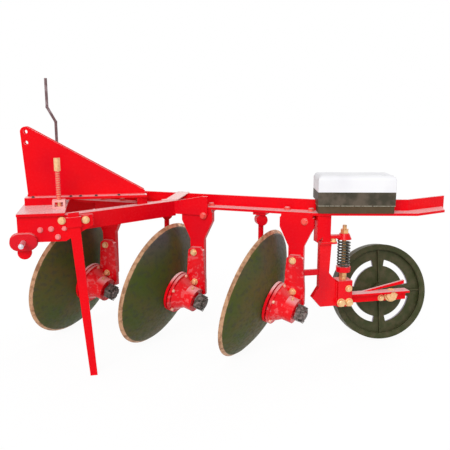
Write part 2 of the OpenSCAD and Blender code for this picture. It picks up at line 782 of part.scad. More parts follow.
module joint_plate() color(paint_red) difference() {
    on_standard(2) upright(-joint_t, joint_t)
        polygon([[-joint_front, beam_low - joint_lap], [joint_rear, beam_low - joint_lap], [joint_rear,
            beam_top],
            [joint_rear - joint_top_l, beam_top], [-joint_front, brace_top]]);
    // Ends against the brace's near face
    translate([0, 0, beam_low - joint_lap - past])
        linear_extrude(beam_h + joint_lap + 2 * past) polygon(strip(brace_line, 0, disc_d));
}
// Lies on the brace's level leg and reaches to the beam's upright leg
module cross_tie() color(paint_red) difference() {
    translate([tie_x, -cut_l / 2, brace_top]) cube([tie_w, cut_l, foot_low - brace_top]);
    translate([0, 0, brace_top - past]) {
        linear_extrude(foot_low)
            polygon(strip([brace_front - cut_l * brace_way, brace_rear + cut_l * brace_way], tie_inset,
                -cut_l));
        linear_extrude(foot_low) polygon(strip([beam_bend - cut_l * beam_out, beam_bend],
            beam_leg_w - beam_t, cut_l));
    }
}

// Standards and bearing brackets
module standard(i) color(paint_red) on_standard(i) {
    half = standard_top_w / 2;
    stem = standard_stem_w / 2;
    plate_top = beam_low - standard_flange_t;
    funnel_top = beam_low - funnel_drop;
    funnel_low = funnel_top - funnel_h;
    low = disc_z + standard_above;
    upright(0, standard_t) {
        polygon([[-half, plate_top], [-half, funnel_top], [-stem, funnel_low], [-stem, low],
            [stem, low], [stem, funnel_low], [half, funnel_top], [half, plate_top]]);
        translate([0, low]) circle(stem);
    }
    translate([standard_flange_inset - half, 0, plate_top])
        cube([standard_top_w - 2 * standard_flange_inset, standard_flange_w, standard_flange_t]);
}
module bearing_bracket(i) color(paint_red) difference() {
    union() {
        on_standard(i) upright(-bracket_t, bracket_t) {
            low = bracket_low_w / 2;
            high = bracket_top_w / 2;
            top = disc_z + bracket_above;
            polygon([[-low, disc_z - bracket_below], [low, disc_z - bracket_below], [low, disc_z
                + standard_above],
                [high, top - bracket_corner], [high - bracket_corner, top], [bracket_corner - high, top],
                [-high, top - bracket_corner], [-low, disc_z + standard_above]]);
        }
        on_disc(i) {
            translate([0, 0, housing_front]) cylinder(h = housing_flange_t, r = housing_flange_r);
            translate([0, 0, housing_mid])
                cylinder(h = housing_cone_l, r1 = housing_flange_r - housing_step, r2 = housing_r);
            translate([0, 0, housing_mid]) cylinder(h = housing_l, r = housing_r);
        }
    }
    // Bore for the spindle, and room for hub flange and castle nut
    on_disc(i) {
        translate([0, 0, housing_front - past]) cylinder(h = nut_front, r = spindle_r + spindle_gap);
        cylinder(h = housing_front, r = housing_flange_r + bracket_t);
        translate([0, 0, housing_back]) cylinder(h = 2 * castle_nut_h, r = castle_nut_r + hub_gap);
    }
}

// Discs
module shell_section(r, t, r_in, r_out) intersection() {
    translate([0, -sphere_drop]) difference() {
        circle(r, $fn = 256);
        circle(r - t, $fn = 256);
    }
    translate([r_in, -2 * disc_bevel]) square([r_out - r_in, disc_r]);
}
module blade_section() difference() {
    shell_section(disc_sphere_r, disc_t, disc_flat_r, disc_r);
    polygon([[disc_r - disc_bevel, outer_l(disc_r - disc_bevel)], [disc_r, edge_l], [disc_r + past, edge_l],
        [disc_r + past, outer_l(disc_r - disc_bevel) + past]]);
}
module disc_blade(i) color(blade_steel) on_disc(i) {
    rotate_extrude($fn = 96) blade_section();
    translate([0, 0, flat_l - disc_t]) cylinder(h = disc_t, r = disc_flat_r + past, $fn = 96);
}
module disc_hub(i) color(paint_red) on_disc(i) {
    translate([0, 0, flat_l]) cylinder(h = hub_flange_t, r = hub_flange_r);
    translate([0, 0, hub_back]) cylinder(h = nut_front - hub_back, r = spindle_r);
}
module castle_nut(i) color(dark_steel) on_disc(i) translate([0, 0, nut_front]) {
    hex_h = castle_nut_h * 0.6;
    difference() {
        union() {
            cylinder(h = hex_h, r = castle_nut_r, $fn = 6);
            cylinder(h = castle_nut_h, r = castle_nut_r * cos(30));
        }
        for (k = [0:castle_slots - 1]) rotate([0, 0, k * 360 / castle_slots])
            translate([spindle_r, -castle_slot_w / 2, hex_h]) cube([castle_nut_r, castle_slot_w,
                castle_nut_h]);
    }
    cylinder(h = castle_nut_h + spindle_over, r = spindle_r - spindle_step);
}

// Scrapers
module scraper(i) color(paint_red) {
    bowl_r = disc_sphere_r - disc_t - scraper_gap;
    mid_r = (scraper_r_in + scraper_r_out) / 2;
    seat_l = sqrt(bowl_r ^ 2 - mid_r ^ 2) - sphere_drop - scraper_t / 2;
    bend = disc_point(i, mid_r + scraper_offset, scraper_angle, -scraper_ahead);
    top = [bend.x, bend.y, beam_low - scraper_pad_t];
    rod(bend, top, scraper_bar_r);
    rod(bend, disc_point(i, mid_r, scraper_angle, seat_l), scraper_bar_r);
    translate(bend) sphere(scraper_knuckle_r);
    // The first scraper is carried by the right side plate, the others by the beam
    if (i == 1)
        translate([bend.x - scraper_pad / 2, side_outer_y, beam_low - scraper_pad])
            cube([scraper_pad, bend.y + scraper_bar_r - side_outer_y, scraper_pad]);
    else {
        translate(top) rotate([0, 0, -beam_angle]) translate([-scraper_pad / 2, -scraper_pad / 2, 0])
            cube([scraper_pad, scraper_pad, scraper_pad_t]);
        translate(top - [0, 0, scraper_clamp_r]) rotate([90, 0, 0])
            cylinder(h = scraper_clamp_l, r = scraper_clamp_r, center = true);
    }
    span = 2 * asin(scraper_w / 2 / mid_r);
    on_disc(i) rotate([0, 0, 180 - scraper_angle - span / 2]) rotate_extrude(angle = span, $fn = 96)
        shell_section(bowl_r, scraper_t, scraper_r_in, scraper_r_out);
}

// Wheel carrier
module wheel_hanger() color(paint_red) difference() {
    low = beam_low - hanger_h;
    upright(carrier_y - hanger_w / 2, hanger_w)
        polygon([[hanger_x, low], [hanger_x + hanger_l, low], [hanger_x + hanger_l, beam_low],
            [hanger_x - gusset_l, beam_low], [hanger_x - gusset_l, low], [hanger_x, low + gusset_corner]]);
    // Room for the flange of the rear standard
    on_standard(3) translate([-cut_l, -cut_l, beam_low - standard_flange_t - seat_gap])
        cube([cut_l + standard_top_w / 2 - standard_flange_inset + seat_gap, 2 * cut_l, disc_d]);
}
module wheel_bracket() color(paint_red) {
    left = hanger_x - carrier_bar_over;
    right = left + carrier_bar_w;
    translate([left - carrier_flange_over, carrier_y - carrier_flange_w / 2, carrier_flange_z])
        cube([carrier_flange_l, carrier_flange_w, carrier_flange_t]);
    upright(carrier_y - carrier_bar_t / 2, carrier_bar_t)
        polygon([[left, carrier_flange_z], [right, carrier_flange_z],
            [right - carrier_bar_over, strut_housing_top + 2 * jam_nut_h],
            [strut_housing_x, strut_housing_top - carrier_flange_t], [strut_housing_x, carrier_low],
            [left + carrier_corner_l, carrier_low], [left - carrier_toe, carrier_low + carrier_corner_h],
            [left, carrier_low + carrier_corner_h + carrier_toe_h]]);
    // Link that ends on the rear standard's edge
    difference() {
        translate([standard_foot(3).x, carrier_y - carrier_link_t / 2, carrier_link_z])
            cube([left - standard_foot(3).x, carrier_link_t, carrier_link_h]);
        on_standard(3) translate([-cut_l, -cut_l, 0]) {
            cube([cut_l + standard_stem_w / 2, 2 * cut_l, beam_low]);
            cube([cut_l + bracket_low_w / 2, cut_l, beam_low]);
        }
    }
}
module strut_housing() color(paint_red)
    translate([strut_housing_x, carrier_y - strut_housing_l / 2, carrier_low])
        cube([strut_housing_l, strut_housing_l / 2 + arm_face_y - carrier_y,
            strut_housing_top - carrier_low]);
module strut_rod() color(plated) translate([strut_x, carrier_y, strut_housing_top]) {
    nut_r = 2 * strut_rod_r;
    guide_top = guide_z + guide_h - strut_housing_top;
    cylinder(h = guide_top + strut_rod_over, r = strut_rod_r);
    for (k = [0, 1]) translate([0, 0, k * jam_nut_h]) cylinder(h = jam_nut_h - strut_washer_t,
        r = nut_r, $fn = 6);
    translate([0, 0, 2 * jam_nut_h - strut_washer_t]) cylinder(h = strut_washer_t, r = nut_r);
    translate([0, 0, guide_top]) cylinder(h = jam_nut_h, r = nut_r, $fn = 6);
}
module strut_collar() color(paint_red) translate([strut_x, carrier_y, collar_z]) difference() {
    cylinder(h = collar_h, r = collar_r);
    translate([0, 0, -past]) cylinder(h = collar_h + 2 * past, r = strut_rod_r + seat_gap);
}
module strut_guide() color(paint_red) translate([strut_x, carrier_y, guide_z]) difference() {
    union() {
        cylinder(h = guide_h, r1 = collar_r, r2 = guide_top_r);
        translate([hanger_x + hanger_l - strut_x, -guide_link_w / 2, (guide_h - guide_link_t) / 2])
            cube([strut_x - hanger_x - hanger_l, guide_link_w, guide_link_t]);
    }
    translate([0, 0, -past]) cylinder(h = guide_h + 2 * past, r = strut_rod_r + seat_gap);
}
// Wire swept along a helix, closed by its two end rings
function wire_point(turn, angle, mean_r, wire_r, z) =
    let (r = mean_r + wire_r * cos(angle)) [r * cos(turn), r * sin(turn), z + wire_r * sin(angle)];
module strut_spring() color(dark_steel) {
    sides = 8;
    per_turn = 14;
    rings = floor(spring_turns * per_turn);
    mean_r = spring_r - spring_wire_r;
    climb = spring_h - 2 * spring_wire_r;
    points = [for (k = [0:rings]) for (s = [0:sides - 1])
        wire_point(360 * k / per_turn, 360 * s / sides, mean_r, spring_wire_r, spring_wire_r
            + climb * k / rings)];
    walls = [for (k = [0:rings - 1]) for (s = [0:sides - 1])
        let (a = k * sides, n = (s + 1) % sides) [a + s, a + sides + s, a + sides + n, a + n]];
    caps = [[for (s = [0:sides - 1]) s], [for (s = [sides - 1:-1:0]) rings * sides + s]];
    translate([strut_x, carrier_y, spring_low]) polyhedron(points, concat(walls, caps), convexity = 20);
}

// Furrow wheel and its arm
module wheel_arm() color(paint_red) difference() {
    low = arm_eye.z - arm_h / 2;
    high = arm_eye.z + arm_h / 2;
    end_x = arm_eye.x + arm_tail;
    union() {
        upright(arm_face_y, arm_t) {
            polygon([[strut_housing_x, low], [end_x, low], [end_x, high], [strut_housing_x, high]]);
            polygon([[arm_eye.x - prong_front, high], [arm_eye.x - prong_front + prong_root, high],
                [end_x - prong_inset, high + prong_rise - prong_tip], [end_x - prong_inset, high
                    + prong_rise]]);
        }
        translate([strut_housing_x + strut_housing_l, arm_face_y - arm_leg_w, high - arm_leg_t])
            cube([end_x - strut_housing_x - strut_housing_l, arm_leg_w, arm_leg_t]);
    }
    on_wheel() cylinder(h = wheel_d, r = axle_r + axle_gap);
}
module wheel_axle() color(bare_steel) on_wheel() {
    head_l = wheel_hub_l / 2 + axle_side_gap + axle_head_t;
    translate([0, 0, -head_l]) cylinder(h = head_l + arm_reach + axle_over, r = axle_r);
    translate([0, 0, -head_l]) cylinder(h = axle_head_t, r = axle_head_r);
}
// Curved slot round the hub
module wheel_window() rotate([0, 0, -window_span / 2]) rotate_extrude(angle = window_span, $fn = 96)
    translate([window_r_in, -wheel_w]) square([window_r_out - window_r_in, 2 * wheel_w]);
module furrow_wheel() color(dark_steel) on_wheel() difference() {
    union() {
        rotate_extrude($fn = 96) {
            translate([wheel_r - rim_t, -wheel_w / 2]) square([rim_t, wheel_w]);
            translate([wheel_hub_r - web_lap, -web_t / 2])
                square([wheel_r - rim_t - wheel_hub_r + 2 * web_lap, web_t]);
        }
        translate([0, 0, -wheel_hub_l / 2]) cylinder(h = wheel_hub_l, r = wheel_hub_r);
    }
    translate([0, 0, -wheel_hub_l]) cylinder(h = 2 * wheel_hub_l, r = axle_r + axle_gap);
    for (k = [0:3]) rotate([0, 0, 45 + 90 * k]) wheel_window();
}

// Ballast box
module ballast_box() color(dark_steel) on_rear_beam() {
    skirt = ballast_lip - ballast_step;
    translate([ballast_start + ballast_step, -skirt, beam_floor])
        cube([ballast_l - 2 * ballast_step, skirt + beam_leg_w - beam_t - seat_gap,
            ballast_low - beam_floor]);
    translate([ballast_start, -ballast_lip, ballast_low])
        cube([ballast_l, ballast_lip + beam_leg_w - beam_t - seat_gap, beam_top - ballast_low]);
    translate([ballast_start, -ballast_lip, beam_top]) cube([ballast_l, ballast_w, ballast_h]);
}
module lid_section(w) {
    square([w, lid_h - lid_r]);
    translate([lid_r, 0]) square([w - 2 * lid_r, lid_h]);
    for (x = [lid_r, w - lid_r]) translate([x, lid_h - lid_r]) circle(lid_r);
}
module ballast_lid() color([0.93, 0.93, 0.92]) on_rear_beam()
    translate([ballast_start, -ballast_lip, beam_top + ballast_h]) intersection() {
        upright(-past, ballast_w + 2 * past) lid_section(ballast_l);
        rotate([90, 0, 90]) translate([0, 0, -past]) linear_extrude(ballast_l + 2 * past)
            lid_section(ballast_w);
    }

mast_plate(-mast_outer_y);  // mast_plate_left
mast_plate(mast_inner_y);  // mast_plate_right
mast_foot(-mast_inner_y - mast_foot_w);  // mast_foot_left
mast_foot(mast_inner_y);  // mast_foot_right
mast_spacer();
side_plate(-side_outer_y, left_plate_l);  // headstock_left_plate
right_plate();  // headstock_right_plate
headstock_top_plate();
front_channel();
hitch_collar(-1);  // hitch_collar_left
hitch_collar(1);  // hitch_collar_right
hitch_pin(-1);  // hitch_pin_left
hitch_pin(1);  // hitch_pin_right
levelling_bracket();
levelling_screw();
crank_block();
crank_rod();
stand_clamp();
stand_leg();
main_beam();
side_brace();
joint_plate();
cross_tie();
for (i = [1:3]) {
    standard(i);
    bearing_bracket(i);
    disc_blade(i);
    disc_hub(i);
    castle_nut(i);
    scraper(i);
}
wheel_hanger();
wheel_bracket();
strut_housing();
strut_rod();
strut_collar();
strut_spring();
strut_guide();
wheel_arm();
wheel_axle();
furrow_wheel();
ballast_box();
ballast_lid();
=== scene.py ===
"""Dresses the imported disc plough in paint, worn steel and fasteners, and stands it in a plain studio."""
from __future__ import annotations

import json
import logging
import math
from dataclasses import dataclass, field
from enum import Enum
from typing import Iterable, Sequence

import bmesh
import bpy
from mathutils import Matrix, Vector


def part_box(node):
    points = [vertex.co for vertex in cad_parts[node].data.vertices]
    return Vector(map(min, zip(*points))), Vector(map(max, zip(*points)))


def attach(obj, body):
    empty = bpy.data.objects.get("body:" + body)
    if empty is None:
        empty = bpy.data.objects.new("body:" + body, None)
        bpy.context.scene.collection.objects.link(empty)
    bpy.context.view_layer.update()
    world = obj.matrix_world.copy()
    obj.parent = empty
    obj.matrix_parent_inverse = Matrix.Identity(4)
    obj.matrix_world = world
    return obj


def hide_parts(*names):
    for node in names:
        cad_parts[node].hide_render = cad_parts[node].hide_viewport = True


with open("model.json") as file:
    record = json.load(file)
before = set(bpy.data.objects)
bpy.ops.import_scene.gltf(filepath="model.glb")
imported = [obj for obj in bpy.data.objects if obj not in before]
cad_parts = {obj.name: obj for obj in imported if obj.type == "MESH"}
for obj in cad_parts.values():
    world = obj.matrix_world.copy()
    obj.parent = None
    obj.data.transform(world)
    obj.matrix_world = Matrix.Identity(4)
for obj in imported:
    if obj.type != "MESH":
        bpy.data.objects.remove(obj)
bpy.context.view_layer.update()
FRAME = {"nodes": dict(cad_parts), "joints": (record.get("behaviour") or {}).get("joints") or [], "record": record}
LOG = logging.getLogger("plough")
MM = 0.001
UP = Vector((0.0, 0.0, 1.0))
DOWN = Vector((0.0, 0.0, -1.0))
NEAR = Vector((0.0, -1.0, 0.0))
WHITE = (1.0, 1.0, 1.0, 1.0)
# Turn of the main beam, from one furrow's step in Y and in X
BEAM_ANGLE = math.atan2(265.0, 433.0)

Rgb = tuple[float, float, float]
Socket = bpy.types.NodeSocket
Tree = bpy.types.NodeTree
Material = bpy.types.Material
Mesh = bpy.types.Mesh
Piece = bpy.types.Object


def mm(x: float, y: float, z: float) -> Vector:
    """A point given in millimetres, in metres."""
    return Vector((x, y, z)) * MM


class Graph:
    """Adds nodes and links to one node tree."""

    def __init__(self, tree: Tree) -> None:
        """Keeps the tree that the nodes go into."""
        self.tree = tree

    @staticmethod
    def pick(sockets: Iterable[Socket], name: str | int) -> Socket:
        """Finds a socket in use.

        Args:
            sockets: The inputs or outputs of a node.
            name: The socket's name, or its index.

        Returns:
            The first enabled socket of that name.
        """
        if isinstance(name, int):
            return list(sockets)[name]
        return next(s for s in sockets if s.name == name and s.enabled)

    def feed(self, socket: Socket, value: object) -> None:
        """Links a socket or sets its number.

        Args:
            socket: The input to feed.
            value: A Value, a socket, a list of sockets or a plain default.
        """
        if isinstance(value, list):
            for one in value:
                self.feed(socket, one)
        elif isinstance(value, Value):
            self.tree.links.new(value.socket, socket)
        elif isinstance(value, Socket):
            self.tree.links.new(value, socket)
        else:
            socket.default_value = value

    def node(self, kind: str, settings: dict[str, object] | None = None,
             inputs: dict[str | int, object] | None = None) -> bpy.types.Node:
        """Adds one node.

        Args:
            kind: The node's type name.
            settings: Properties that are set first.
            inputs: Values or links of its sockets.

        Returns:
            The new node.
        """
        made = self.tree.nodes.new(kind)
        for name, value in (settings or {}).items():
            setattr(made, name, value)
        for name, value in (inputs or {}).items():
            self.feed(self.pick(made.inputs, name), value)
        return made

    def out(self, kind: str, output: str | int, settings: dict[str, object] | None = None,
            inputs: dict[str | int, object] | None = None) -> Socket:
        """Adds one node.

        Args:
            kind: The node's type name.
            output: The output to use.
            settings: Properties that are set first.
            inputs: Values or links of its sockets.

        Returns:
            That output socket.
        """
        return self.pick(self.node(kind, settings, inputs).outputs, output)


class Value:
    """A number socket that takes part in Python expressions."""

    def __init__(self, graph: Graph, socket: Socket) -> None:
        """Keeps the socket and the graph that new Math nodes go into."""
        self.graph = graph
        self.socket = socket

    def math(self, operation: str, *values: object) -> Value:
        """Adds a Math node.

        Args:
            operation: The Math node's operation.
            values: Its inputs in order.

        Returns:
            The result.
        """
        kind = {"operation": operation}
        return Value(self.graph, self.graph.out("ShaderNodeMath", "Value", kind, dict(enumerate(values))))

    def __add__(self, other: Value | float) -> Value:
        """Sum."""
        return self.math("ADD", self, other)

    __radd__ = __add__

    def __sub__(self, other: Value | float) -> Value:
        """Difference."""
        return self.math("SUBTRACT", self, other)

    def __rsub__(self, other: Value | float) -> Value:
        """Reflected difference."""
        return self.math("SUBTRACT", other, self)

    def __mul__(self, other: Value | float) -> Value:
        """Product."""
        return self.math("MULTIPLY", self, other)

    __rmul__ = __mul__

    def __truediv__(self, other: Value | float) -> Value:
        """Quotient."""
        return self.math("DIVIDE", self, other)

    def root(self) -> Value:
        """Square root."""
        return self.math("SQRT", self)

    def sine(self) -> Value:
        """Sine of an angle in radians."""
        return self.math("SINE", self)

    def top(self, other: Value | float) -> Value:
        """The larger of two values."""
        return self.math("MAXIMUM", self, other)

    def ease(self, start: float, end: float) -> Value:
        """Smooth step.

        Args:
            start: Where the step leaves 0.
            end: Where it reaches 1.

        Returns:
            A value from 0 to 1.
        """
        return Value(self.graph, self.graph.out(
            "ShaderNodeMapRange", "Result", {"interpolation_type": "SMOOTHSTEP"},
            {"Value": self, "From Min": start, "From Max": end}))

    def within(self, low: float, high: float, blur: float) -> Value:
        """Band from low to high.

        Args:
            low: Lower end.
            high: Upper end.
            blur: Width over which it fades in and out, inside its ends.

        Returns:
            1 inside the band, 0 outside.
        """
        return self.ease(low, low + blur) * (1.0 - self.ease(high - blur, high))


class Surface(Graph):
    """One material with a Principled shader, read in object coordinates."""

    def __init__(self, name: str) -> None:
        """Makes the material with its shader and output.

        Args:
            name: The material's name.
        """
        self.material = bpy.data.materials.new(name)
        self.material.use_nodes = True
        super().__init__(self.material.node_tree)
        self.tree.nodes.clear()
        self.shader = self.node("ShaderNodeBsdfPrincipled")
        self.node("ShaderNodeOutputMaterial", inputs={"Surface": self.shader.outputs["BSDF"]})
        self.place = self.out("ShaderNodeTexCoord", "Object")

    def set(self, **inputs: object) -> None:
        """Feeds the shader's inputs, with _ for the spaces in their names."""
        for name, value in inputs.items():
            self.feed(self.pick(self.shader.inputs, name.replace("_", " ")), value)

    def vector(self, operation: str, output: str, *values: object) -> Socket:
        """Adds a Vector Math node.

        Args:
            operation: The node's operation.
            output: Vector or Value.
            values: Its inputs in order.

        Returns:
            That output socket.
        """
        return self.out("ShaderNodeVectorMath", output, {"operation": operation}, dict(enumerate(values)))

    def noise(self, scale: float, detail: float) -> Value:
        """Noise over the surface.

        Args:
            scale: Cells to the metre.
            detail: Octaves.

        Returns:
            A value from 0 to 1.
        """
        inputs = {"Vector": self.place, "Scale": scale, "Detail": detail}
        return Value(self, self.out("ShaderNodeTexNoise", "Fac", None, inputs))

    def axis(self, name: str) -> Value:
        """One object coordinate, X, Y or Z, in metres."""
        return Value(self, self.out("ShaderNodeSeparateXYZ", name, None, {"Vector": self.place}))

    def mix(self, factor: Value, low: object, high: object) -> Socket:
        """Mixes two colours.

        Args:
            factor: 0 for low, 1 for high.
            low: A colour or a colour socket.
            high: A colour or a colour socket.

        Returns:
            The mixed colour.
        """
        ends = [(*c, 1.0) if isinstance(c, tuple) else c for c in (low, high)]
        return self.out("ShaderNodeMix", "Result", {"data_type": "RGBA"},
                        {"Factor": factor, "A": ends[0], "B": ends[1]})

    def rounded(self, radius: float) -> Socket:
        """The normal of a surface whose edges are rounded to a radius in metres."""
        return self.out("ShaderNodeBevel", "Normal", {"samples": 4}, {"Radius": radius})

    def edges(self, soft: Socket) -> Value:
        """How near a point is to an edge.

        Args:
            soft: The rounded normal.

        Returns:
            0 on a flat face, rising towards an edge.
        """
        flat = self.out("ShaderNodeNewGeometry", "Normal")
        return 1.0 - Value(self, self.vector("DOT_PRODUCT", "Value", soft, flat))

    def skyward(self) -> Value:
        """How far a face looks up.

        Returns:
            0 for an upright face, 1 for a level one.
        """
        normal = self.out("ShaderNodeNewGeometry", "Normal")
        rise = Value(self, self.out("ShaderNodeSeparateXYZ", "Z", None, {"Vector": normal}))
        return rise.ease(0.55, 0.95)

    def bump(self, height: Value, depth: float, strength: float, soft: Socket) -> Socket:
        """Relief on a surface.

        Args:
            height: Height from 0 to 1.
            depth: Depth of the relief in metres.
            strength: Share of the relief that shows.
            soft: The normal under the relief.

        Returns:
            The new normal.
        """
        return self.out("ShaderNodeBump", "Normal", None,
                        {"Height": height, "Distance": depth, "Strength": strength, "Normal": soft})

    def from_axis(self, centre: Vector, axis: Vector) -> tuple[Value, Value]:
        """Cylinder coordinates round an axis.

        Args:
            centre: A point on the axis.
            axis: Its direction.

        Returns:
            Distance from the axis and distance along it, in metres.
        """
        arm = self.vector("SUBTRACT", "Vector", self.place, centre)
        along = Value(self, self.vector("DOT_PRODUCT", "Value", arm, axis))
        reach = Value(self, self.vector("LENGTH", "Value", arm))
        return (reach * reach - along * along).top(0.0).root(), along


@dataclass(frozen=True)
class Enamel:
    """Gloss enamel over plate or casting, with a painted highlight on faces that look up."""

    name: str
    color: Rgb
    shade: Rgb
    # Colour of scuffed edges: partly worn paint, partly a painted edge highlight
    edge_wear_sheen: Rgb
    roughness: float = 0.24
    ior: float = 1.18
    # Share of the painted highlight on faces that look up
    top_highlight_share: float = 0.95
    edge_r: float = 2.2 * MM
    grain: float = 420.0
    grain_depth: float = 0.25 * MM
    # Share of painted glints: random pale pink spots that stand for highlights on glossy paint
    glint_share: float = 0.0
    # Pale pink of the painted highlights
    highlight_tint: Rgb = (0.98, 0.66, 0.66)

    def build(self) -> Material:
        """Makes the material.

        Returns:
            The new material.
        """
        s = Surface(self.name)
        soft = s.rounded(self.edge_r)
        edge = s.edges(soft)
        cloud = s.noise(5.0, 4.0)
        peel = s.noise(self.grain, 2.0)
        scuff = s.noise(90.0, 5.0)
        tone = s.mix(cloud.ease(0.35, 0.75), self.color, self.shade)
        # Painted highlight: faces that look up are mixed towards a pale pink
        top_highlight = s.skyward() * (0.75 + 0.25 * s.noise(14.0, 4.0)) * self.top_highlight_share
        # Painted glints: random spots mixed towards the highlight's pale pink
        glint_spots = s.noise(48.0, 2.0).ease(0.54, 0.63) * self.glint_share
        tone = s.mix(top_highlight.top(glint_spots), tone, self.highlight_tint)
        # Scuffed edges, partly paint wear and partly a painted edge highlight
        edge_wear_sheen_mask = edge.ease(0.05, 0.35) * scuff.ease(0.40, 0.62)
        s.set(Base_Color=s.mix(edge_wear_sheen_mask * 0.45, tone, self.edge_wear_sheen),
              Roughness=self.roughness + 0.16 * scuff.ease(0.45, 0.8) + 0.2 * edge_wear_sheen_mask,
              IOR=self.ior, Normal=s.bump(peel, self.grain_depth, 0.35, soft))
        return s.material


@dataclass(frozen=True)
class Metal:
    """Bare, plated or cast metal with patches of another tone."""

    name: str
    color: Rgb
    patch: Rgb
    metallic: float
    roughness: float
    patch_scale: float = 60.0
    grain: float = 900.0
    grain_depth: float = 0.15 * MM
    edge_r: float = 1.2 * MM

    def build(self) -> Material:
        """Makes the material.

        Returns:
            The new material.
        """
        s = Surface(self.name)
        soft = s.rounded(self.edge_r)
        edge = s.edges(soft)
        patch = s.noise(self.patch_scale, 5.0).ease(0.42, 0.7)
        grain = s.noise(self.grain, 3.0)
        base = s.mix(patch, self.color, self.patch)
        bright = tuple(min(1.0, 1.35 * c + 0.05) for c in self.color)
        s.set(Base_Color=s.mix(edge.ease(0.05, 0.4) * 0.7, base, bright), Metallic=self.metallic,
              Roughness=self.roughness + 0.18 * patch - 0.1 * edge.ease(0.05, 0.4),
              Normal=s.bump(grain, self.grain_depth, 0.4, soft))
        return s.material


@dataclass(frozen=True)
class Blade:
    """Rolled disc steel with turned rings, oil stains, a painted bluish reflection towards the top and a ground
    tan edge.
    """

    name: str
    centre: Vector
    axis: Vector
    radius: float
    steel: Rgb = (0.058, 0.080, 0.014)
    stain: Rgb = (0.096, 0.074, 0.021)
    top_reflection_tint: Rgb = (0.084, 0.070, 0.084)
    scale_mark: Rgb = (0.040, 0.042, 0.034)
    ground: Rgb = (0.62, 0.36, 0.21)
    ground_dark: Rgb = (0.34, 0.17, 0.09)
    ground_w: float = 13.5 * MM
    ground_blur: float = 1.5 * MM
    ragged: float = 4.0 * MM
    ring_pitch: float = 3.2 * MM

    def build(self) -> Material:
        """Makes the material.

        Returns:
            The new material.
        """
        s = Surface(self.name)
        out, _ = s.from_axis(self.centre, self.axis)
        patch = s.noise(7.0, 5.0)
        speck = s.noise(70.0, 5.0)
        rings = (out * (2.0 * math.pi / self.ring_pitch)).sine() * 0.5 + 0.5
        start = self.radius - self.ground_w
        rim = (out + self.ragged * (speck - 0.5)).ease(start - self.ground_blur, start + self.ground_blur)
        tint = s.mix(patch.ease(0.30, 0.72), self.steel, self.stain)
        # Painted reflection: a bluish tint towards the top of the disc
        tint = s.mix(s.axis("Z").ease(0.42, 0.66) * s.noise(4.0, 3.0).ease(0.35, 0.6), tint, self.top_reflection_tint)
        tint = s.mix(s.noise(42.0, 4.0).ease(0.48, 0.66) * 0.45, tint, self.scale_mark)
        edge_tone = s.mix(s.noise(38.0, 5.0).ease(0.4, 0.66), self.ground, self.ground_dark)
        soft = s.rounded(0.8 * MM)
        s.set(Base_Color=s.mix(rim, tint, edge_tone), Metallic=0.05 + 0.3 * rim, Specular_IOR_Level=0.18,
              Roughness=0.5 + 0.2 * speck.ease(0.4, 0.7) - 0.08 * rim,
              Normal=s.bump(rings * 0.4 + speck * 0.6, 0.2 * MM, 0.35, soft))
        return s.material


@dataclass(frozen=True)
class WheelIron:
    """Cast iron of the furrow wheel, with a rolled bright tread, mottled web and a painted lilac reflection on the
    windows' cut faces.
    """

    name: str
    centre: Vector
    axis: Vector
    radius: float
    iron: Rgb = (0.038, 0.046, 0.013)
    mottle: Rgb = (0.078, 0.070, 0.034)
    rolled: Rgb = (0.16, 0.15, 0.11)
    # Lilac of the painted reflection on the windows' cut faces
    window_sheen: Rgb = (0.55, 0.50, 0.62)
    window_low: float = 134.0 * MM
    window_high: float = 170.0 * MM
    web_half: float = 6.0 * MM

    def build(self) -> Material:
        """Makes the material.

        Returns:
            The new material.
        """
        s = Surface(self.name)
        out, along = s.from_axis(self.centre, self.axis)
        patch = s.noise(30.0, 8.0).ease(0.32, 0.76)
        grain = s.noise(520.0, 3.0)
        tread = out.ease(self.radius - 1.5 * MM, self.radius - 0.5 * MM)
        # Cut faces of the windows, inside the web's thickness, take a painted lilac reflection
        cut = out.within(self.window_low, self.window_high, MM)
        cut = cut * along.within(-self.web_half, self.web_half, MM)
        tone = s.mix(patch, self.iron, self.mottle)
        tone = s.mix(tread * 0.5, tone, self.rolled)
        soft = s.rounded(2.5 * MM)
        s.set(Base_Color=s.mix(cut * 0.85, tone, self.window_sheen), Metallic=0.1, Specular_IOR_Level=0.25,
              Roughness=0.48 + 0.15 * patch, Normal=s.bump(grain, 0.5 * MM, 0.5, soft))
        return s.material


@dataclass(frozen=True)
class BoxPaint:
    """Weathered dark paint of the ballast box, with a pale line along its step."""

    name: str
    step_z: float
    dark: Rgb = (0.038, 0.032, 0.018)
    grey: Rgb = (0.108, 0.084, 0.060)
    earth: Rgb = (0.085, 0.046, 0.014)
    pale: Rgb = (0.40, 0.37, 0.28)
    line_w: float = 4.0 * MM

    def build(self) -> Material:
        """Makes the material.

        Returns:
            The new material.
        """
        s = Surface(self.name)
        high = s.axis("Z")
        patch = s.noise(16.0, 6.0).ease(0.40, 0.66)
        speck = s.noise(140.0, 4.0)
        tone = s.mix(patch, self.dark, self.grey)
        low = (1.0 - high.ease(self.step_z - 4.0 * MM, self.step_z)) * (0.45 + 0.4 * speck)
        tone = s.mix(low, tone, self.earth)
        line = high.within(self.step_z - MM, self.step_z + self.line_w, MM)
        soft = s.rounded(2.0 * MM)
        s.set(Base_Color=s.mix(line * speck.ease(0.3, 0.5) * 0.8, tone, self.pale),
              Roughness=0.5 + 0.2 * patch, Specular_IOR_Level=0.3,
              Normal=s.bump(speck, 0.4 * MM, 0.4, soft))
        return s.material


# What painted castings share: a shinier coat over a coarse skin with soft edges
CAST = {"ior": 1.30, "edge_r": 3.0 * MM, "grain": 150.0, "grain_depth": 1.6 * MM}


